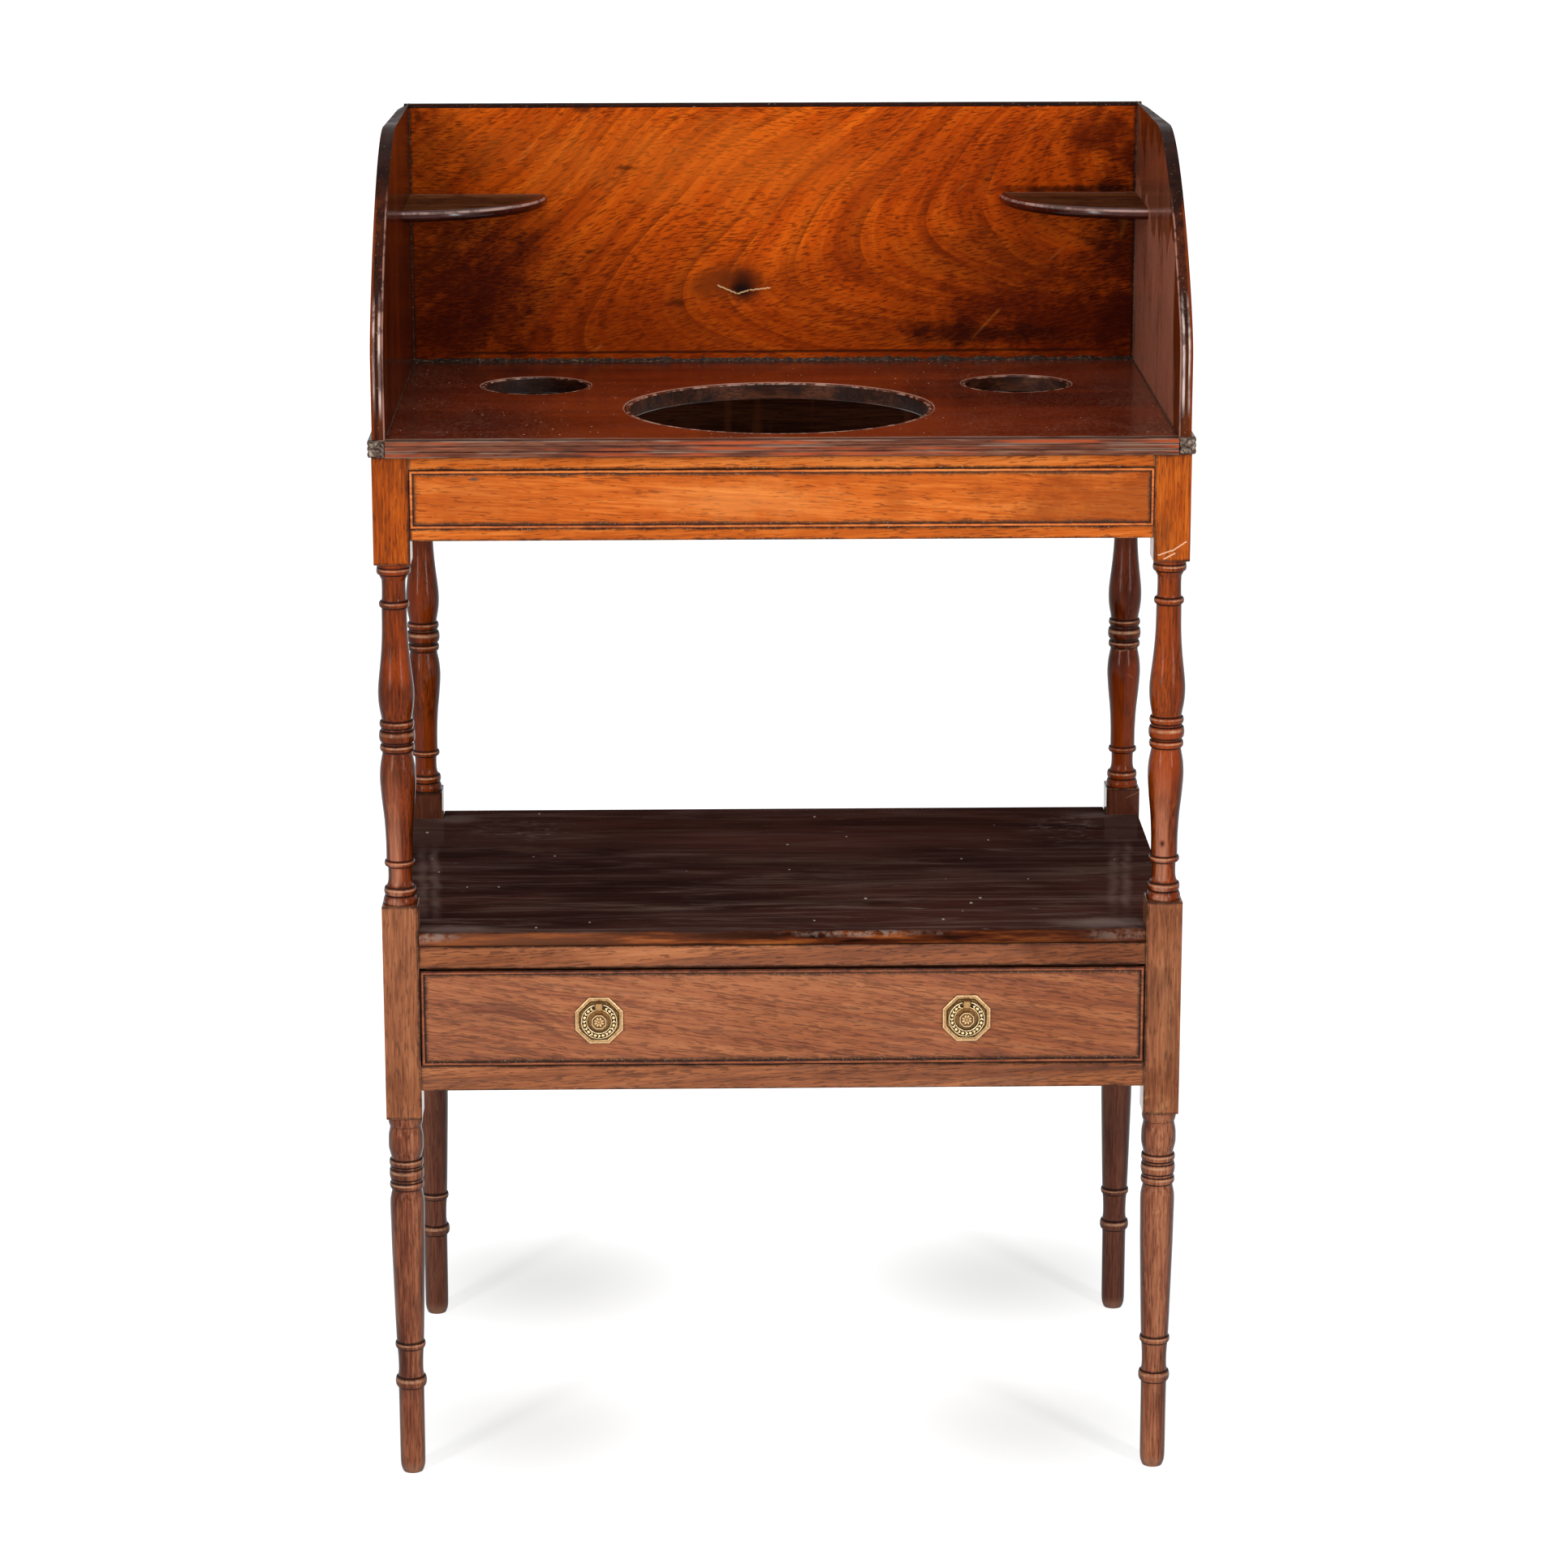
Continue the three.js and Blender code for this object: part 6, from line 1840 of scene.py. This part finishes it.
NOSE_REACH, NOSE_DROP = 7.5 * MM, 6.6 * MM
# The step under the nose, each point as far back from the front and up from below
NOSE_STEP = ((0.8 * MM, 0.0), (0.8 * MM, 1.6 * MM), (0.3 * MM, 1.9 * MM))
NOSE_WEAR = 0.5 * MM
NOTCH_GAP = 0.3 * MM


def undertier_nose(low, high, half_length):
    """The front edge: a thumb moulding with a small step below it, worn unevenly along its length."""
    nose_back = low.y + NOSE_REACH
    section = [(nose_back, low.z)] + [(low.y + back, low.z + up) for back, up in NOSE_STEP]
    for step in range(13):
        angle = math.pi / 2 * step / 12
        section.append((nose_back - NOSE_REACH * math.cos(angle), high.z - NOSE_DROP * (1 - math.sin(angle))))
    points, faces = run(section, -half_length, half_length, 0, 60)
    rubbed = []
    for x, y, z in points:
        if y < nose_back - 1 * MM and z > low.z + 1 * MM:
            dip = 0.5 + 0.5 * noise.noise(Vector((x * 22, 3.1, 0.4)))
            y += NOSE_WEAR * dip * dip
            z = min(z, high.z) - NOSE_WEAR * 0.7 * dip * dip * (1 if z > high.z - 5 * MM else 0)
        rubbed.append((x, y, z))
    return rubbed, faces


def undertier(wood):
    """The shelf, notched round the leg blocks, with a rounded nose between the front blocks."""
    low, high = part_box("undertier_board")
    notch_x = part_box("leg_front_right")[0].x - NOTCH_GAP
    front_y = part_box("leg_front_left")[1].y + NOTCH_GAP
    rear_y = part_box("leg_rear_left")[0].y - NOTCH_GAP
    nose_back = low.y + NOSE_REACH
    outline = [(-notch_x, nose_back), (notch_x, nose_back), (notch_x, front_y), (high.x, front_y),
               (high.x, rear_y), (notch_x, rear_y), (notch_x, high.y), (-notch_x, high.y), (-notch_x, rear_y),
               (low.x, rear_y), (low.x, front_y), (-notch_x, front_y)]
    made = sawn([outline], low.z, high.z, (0, 1, 2), 0.9 * MM, 2,
                lambda a, b: min(a.y, b.y) > nose_back + 1 * MM and abs(a.z - b.z) < 1e-6)
    shape = Shape().add(made).add(undertier_nose(low, high, notch_x))
    piece("undertier_shelf", shape, [wood], "undertier_wood", "frame", "undertier_board")


DOVETAIL_PROUD = 0.15 * MM
DRAWER_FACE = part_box("drawer_bead_top")[0].y + 2 * MM


def drawer(finishes):
    """The drawer front. Its ends stand back a little, so that the tails of the sides show on them."""
    low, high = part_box("drawer_front")
    board_low = Vector((low.x + DOVETAIL_PROUD, DRAWER_FACE, low.z))
    points, faces = block(board_low, (high.x - DOVETAIL_PROUD, high.y, high.z), 0.3 * MM)
    backs = back_faces(points, faces, high.y)
    seen = inside_beads(Vector((low.x, DRAWER_FACE, low.z)), high)
    piece("drawer_front_board", Shape().add((points, faces), backs, corners=seen),
          [finishes["drawer_front"], finishes["lining"]], "drawer_wood", "drawer", "drawer_front")
    cockbeads("drawer_cockbead", "drawer_bead", "drawer", finishes["drawer_bead"], "drawer_wood", 0.4)


# Handles

PLATE_WIDTH, RIM_WIDTH, FLOOR_OUT = 37 * MM, 3 * MM, 0.7 * MM
RING_OUTER, RING_INNER, RING_HALF = 14 * MM, 9.2 * MM, 1.2 * MM
RING_SEGMENTS, RING_LEAVES = 144, 12
NECK_RADIUS, NECK_FLARE, NECK_GAP = 1.25 * MM, 0.5 * MM, 0.2 * MM
NECK_DEPTH = 0.45


def octagon_rings(levels, centre, front):
    """Stacked eight-sided rings, each (half width across flats, how far it stands out). Ends closed."""
    points = []
    for half, out in levels:
        radius = half / math.cos(math.pi / 8)
        for k in range(8):
            angle = math.pi / 4 * (k + 0.5)
            points.append((centre[0] + radius * math.cos(angle), front - out,
                           centre[1] + radius * math.sin(angle)))
    return points, skin(8, len(levels))


def swell(length, width, rise, around=10, up=3):
    """A low raised leaf, its length along X, its base in the plane y = 0 and its top towards -Y."""
    points, quirks = [], []
    for level in range(up):
        angle = math.pi / 2 * level / up
        for k in range(around):
            turn = 2 * math.pi * k / around
            points.append((length / 2 * math.cos(turn) * math.cos(angle), -rise * math.sin(angle),
                           width / 2 * math.sin(turn) * math.cos(angle)))
            quirks.append(1.0 - 0.95 * (level + 0.3) / up if level else 0.9)
    top, last = len(points), (up - 1) * around
    faces = [tuple(range(around))] + skin(around, up)[:-2]
    faces += [(last + k, last + (k + 1) % around, top) for k in range(around)]
    mesh = bpy.data.meshes.new("leaf")
    mesh.from_pydata(points + [(0, -rise, 0)], [], faces)
    mesh.attributes.new("quirk", "FLOAT", "POINT").data.foreach_set("value", quirks + [0.0])
    return mesh


def ring_band(section, depths, centre, middle_y, neck_half):
    """A band of (radius, depth) points with a straight round neck where its clip holds it at the top."""
    middle = (RING_OUTER + RING_INNER) / 2
    points, quirks = [], []
    for segment in range(RING_SEGMENTS):
        angle = 2 * math.pi * segment / RING_SEGMENTS
        aside = abs(math.remainder(angle - math.pi / 2, 2 * math.pi)) * middle
        share = min(max((aside - neck_half) / NECK_FLARE, 0.0), 1.0)
        for (radius, depth), sunk in zip(section, depths):
            turn = math.atan2(depth, radius - middle)
            out = NECK_RADIUS * math.cos(turn)
            neck = Vector((middle * math.cos(angle), NECK_RADIUS * math.sin(turn), middle + out))
            band = Vector((radius * math.cos(angle), depth, radius * math.sin(angle)))
            points.append(tuple(neck.lerp(band, share) + Vector((centre[0], middle_y, centre[1]))))
            quirks.append(NECK_DEPTH + (sunk - NECK_DEPTH) * share)
    return (points, skin(len(section), RING_SEGMENTS, closed=True)), quirks


def handle_centre(side):
    """(x, z) of the middle of a handle's plate."""
    low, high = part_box(f"handle_plate_{side}")
    return (low.x + high.x) / 2, (low.z + high.z) / 2


def stamped_plate(side, border, brass):
    """An eight-sided plate with a raised rim and a dotted border."""
    centre = handle_centre(side)
    rim_out, half = DRAWER_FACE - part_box(f"handle_plate_{side}")[0].y, PLATE_WIDTH / 2
    inner = half - RIM_WIDTH
    levels = [(half, 0.0), (half, rim_out * 0.7), (half - 0.4 * MM, rim_out - 0.25 * MM),
              (half - 1 * MM, rim_out - 0.3 * MM), (inner + 0.5 * MM, rim_out - 0.3 * MM),
              (inner, rim_out - 0.6 * MM), (inner - 0.35 * MM, FLOOR_OUT), (inner - 1.6 * MM, FLOOR_OUT),
              (0.5 * MM, FLOOR_OUT + 0.25 * MM)]
    depths = [0.95, 0.7, 0.1, 0.42, 0.42, 0.12, 0.9, 0.6, 0.66]
    shape = Shape().add(octagon_rings(levels, centre, DRAWER_FACE),
                        quirks=[d for d in depths for _ in range(8)])
    dot = swell(1.0 * MM, 0.8 * MM, 0.3 * MM, 6, 2)
    made, quirks = grown(dot, border, dots=72, corner_radius=(half - 1.75 * MM) / math.cos(math.pi / 8),
                         centre_place=(centre[0], DRAWER_FACE - rim_out + 0.3 * MM, centre[1]), finish=brass)
    shape.add(made, quirks=quirks)
    piece(f"stamped_plate_{side}", shape, [brass], "brass", "drawer", f"handle_plate_{side}")


def faceted_boss(side, around, brass):
    """An eight-sided boss with a flower of eight petals and an eye sunk in its face."""
    centre = handle_centre(side)
    low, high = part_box(f"handle_boss_{side}")
    base, top = DRAWER_FACE - high.y, DRAWER_FACE - low.y
    base_half, face_half, floor = (high.x - low.x) / 2, 5.5 * MM, top - 0.6 * MM
    levels = [(base_half - 0.1 * MM, base), (base_half - 0.1 * MM, base + 0.9 * MM),
              (base_half - 0.8 * MM, base + 1.3 * MM), (face_half + 0.3 * MM, floor),
              (face_half - 0.1 * MM, top - 0.1 * MM), (face_half - 0.5 * MM, top - 0.1 * MM),
              (face_half - 0.8 * MM, floor), (0.4 * MM, floor)]
    depths = [0.95, 0.75, 0.62, 0.36, 0.0, 0.1, 0.8, 0.42]
    # painted highlight: the upper facets of the boss's sloping sides are made lighter
    top_facet_highlight = [max(math.sin(math.pi / 4 * (k + 0.5)), 0.0) for k in range(8)]
    highlighted_levels = [1.0 if ring in (1, 2, 3) else 0.0 for ring in range(len(depths))]
    quirks = [depth - 0.5 * top_facet_highlight[k] * share for depth, share in zip(depths, highlighted_levels) for k in range(8)]
    shape = Shape().add(octagon_rings(levels, centre, DRAWER_FACE), quirks=quirks)
    place = (centre[0], DRAWER_FACE - floor, centre[1])
    petals = {"copies": 8, "step_angle": math.pi / 4, "circle_radius": 2.75 * MM, "first_angle": math.pi / 8}
    eye = {"copies": 1, "step_angle": 0.0, "circle_radius": 0.0, "first_angle": 0.0}
    for leaf, row in ((swell(3.3 * MM, 1.75 * MM, 0.5 * MM), petals),
                      (swell(1.7 * MM, 1.7 * MM, 0.58 * MM), eye)):
        made, quirks = grown(leaf, around, **row, lean=0.0, centre_place=place, finish=brass)
        shape.add(made, quirks=quirks)
    piece(f"faceted_boss_{side}", shape, [brass], "brass", "drawer", f"handle_boss_{side}")


def ring_section(body_half):
    """(radius, depth) points of a ring's band and how dark each lies."""
    rows = ((RING_INNER + 0.1 * MM, 0.5, 0.9), (RING_INNER, 0.0, 0.6), (RING_INNER + 0.1 * MM, -0.9, 0.25),
            (RING_INNER + 0.45 * MM, -1.3, 0.15), (RING_INNER + 0.75 * MM, -0.95, 0.9),
            (RING_OUTER - 0.75 * MM, -0.95, 0.9), (RING_OUTER - 0.45 * MM, -1.3, 0.15),
            (RING_OUTER - 0.1 * MM, -0.9, 0.25), (RING_OUTER, 0.0, 0.5), (RING_OUTER - 0.1 * MM, 0.9, 0.9),
            (RING_INNER + 0.4 * MM, 1.0, 0.9))
    return [(radius, share * body_half) for radius, share, _ in rows], [depth for _, _, depth in rows]


def ring_pull(side, around, brass):
    """A ring of twelve places: leaves on all but those under its clip, and small veins between them."""
    centre = handle_centre(side)
    low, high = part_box(f"handle_ring_{side}")
    clip_low, clip_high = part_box(f"handle_clip_{side}")
    middle_y, body_half = (low.y + high.y) / 2, RING_HALF - 0.55 * MM
    neck_half = (clip_high.x - clip_low.x) / 2 + NECK_GAP
    made, quirks = ring_band(*ring_section(body_half), centre, middle_y, neck_half)
    shape = Shape().add(made, quirks=quirks)
    on_band = middle_y - 0.85 * body_half
    middle = (RING_OUTER + RING_INNER) / 2
    rise = on_band - low.y - 0.02 * MM
    step, over_clip = 2 * math.pi / RING_LEAVES, math.pi / 2
    for missing, tilt, length, width, out, radius in (
            (2, 0.0, 3.0 * MM, 2.5 * MM, rise, middle),
            (1, 0.7, 3.4 * MM, 1.2 * MM, rise * 0.85, middle + 0.5 * MM),
            (1, -0.7, 3.4 * MM, 1.2 * MM, rise * 0.85, middle - 0.5 * MM)):
        made, quirks = grown(swell(length, width, out), around, copies=RING_LEAVES - missing, step_angle=step,
                             circle_radius=radius, first_angle=over_clip + step * (missing + 1) / 2,
                             lean=math.pi / 2 + tilt, centre_place=(centre[0], on_band, centre[1]),
                             finish=brass)
        shape.add(made, quirks=quirks)
    piece(f"ring_pull_{side}", shape, [brass], "brass", f"ring_{side}", f"handle_ring_{side}")


def ring_clip(side, brass):
    """A bent strap that holds the ring's neck."""
    low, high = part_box(f"handle_clip_{side}")
    front, back, strap = low.y, DRAWER_FACE - FLOOR_OUT, 0.9 * MM
    outer = [(back, high.z), (front + 1.6 * MM, high.z), (front + 0.5 * MM, high.z - 0.5 * MM),
             (front, high.z - 1.5 * MM), (front, low.z + 0.6 * MM), (front + 0.5 * MM, low.z)]
    inner = [(front + strap + 0.2 * MM, low.z), (front + strap, low.z + 0.8 * MM),
             (front + strap, high.z - 1.7 * MM), (front + strap + 0.9 * MM, high.z - strap),
             (back, high.z - strap)]
    made = sawn([outer + inner], low.x, high.x, (1, 2, 0), 0.22 * MM, 2)
    shape = Shape().add(made, quirks=[0.42 if abs(y - front) < 0.3 * MM else 0.7 for _, y, _ in made[0]])
    piece(f"ring_clip_{side}", shape, [brass], "brass", "drawer", f"handle_clip_{side}")


def handles(finishes):
    """Two handles: a plate, a boss, a swinging ring and its clip each."""
    around, border = row_tree(), border_tree()
    for side in ("left", "right"):
        stamped_plate(side, border, finishes["plate_brass"])
        faceted_boss(side, around, finishes["plate_brass"])
        ring_pull(side, around, finishes["ring_brass"])
        ring_clip(side, finishes["plate_brass"])


# Carried-over solids

def painted(node, finish):
    """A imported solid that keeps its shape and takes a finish."""
    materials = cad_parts[node].data.materials
    materials.clear()
    materials.append(finish)


def wood_and_brass():
    """The finishes that several pieces share."""
    return {
        "inner": inner_wood(), "lining": lining_wood(),
        "frieze": frieze_wood(), "panel": frieze_panel_wood(),
        "frieze_bead": bead_wood("frieze_bead_wood", "8c3a12", "c4601f", "e88a48"),
        "drawer_rail": drawer_rail_wood(),
        "drawer_front": drawer_front_wood(),
        "drawer_bead": bead_wood("drawer_bead_wood", "4a2216", "7e3f24", "b46a42"),
        "side": side_wood(), "rear": rear_wood(),
        "plate_brass": handle_brass("plate_brass", "f0cfa0", "a67f52", "2c1a0e"),
        "ring_brass": handle_brass("ring_brass", "ffefcc", "bf9f66", "2b1b0d"),
    }


def carried_over(finishes, iron):
    """The hidden solids that are kept as they are packed."""
    for side in ("left", "right"):
        painted(f"gallery_screw_{side}", iron)
        painted(f"handle_nut_{side}", finishes["plate_brass"])
        for part in ("runner", "guide", "kicker", "stop"):
            painted(f"drawer_{part}_{side}", finishes["inner"])
        painted(f"drawer_side_{side}", finishes["lining"])
        painted(f"top_glue_block_{side}", finishes["inner"])
    painted("drawer_back", finishes["lining"])
    painted("drawer_bottom", finishes["lining"])


def build():
    """The studio and every piece of the washstand."""
    photo_camera()
    studio()
    finishes = wood_and_brass()
    legs(leg_wood())
    top_board(top_board_wood(), hole_wall_wood(), rim_wood())
    front_reeds = reeded_edge_wood("reeded_front_wood", "X")
    side_reeds = reeded_edge_wood("reeded_side_wood", "Y")
    edge_mouldings(front_reeds, side_reeds, end_grain_wood())
    gallery(gallery_back_wood(), finishes["rear"], gallery_side_wood(), gallery_edge_wood(), shelf_wood(),
            shelf_top_wood())
    corner_dirt(joint_dirt())
    carcase(finishes)
    undertier(undertier_wood())
    drawer(finishes)
    handles(finishes)
    carried_over(finishes, old_iron())


build()
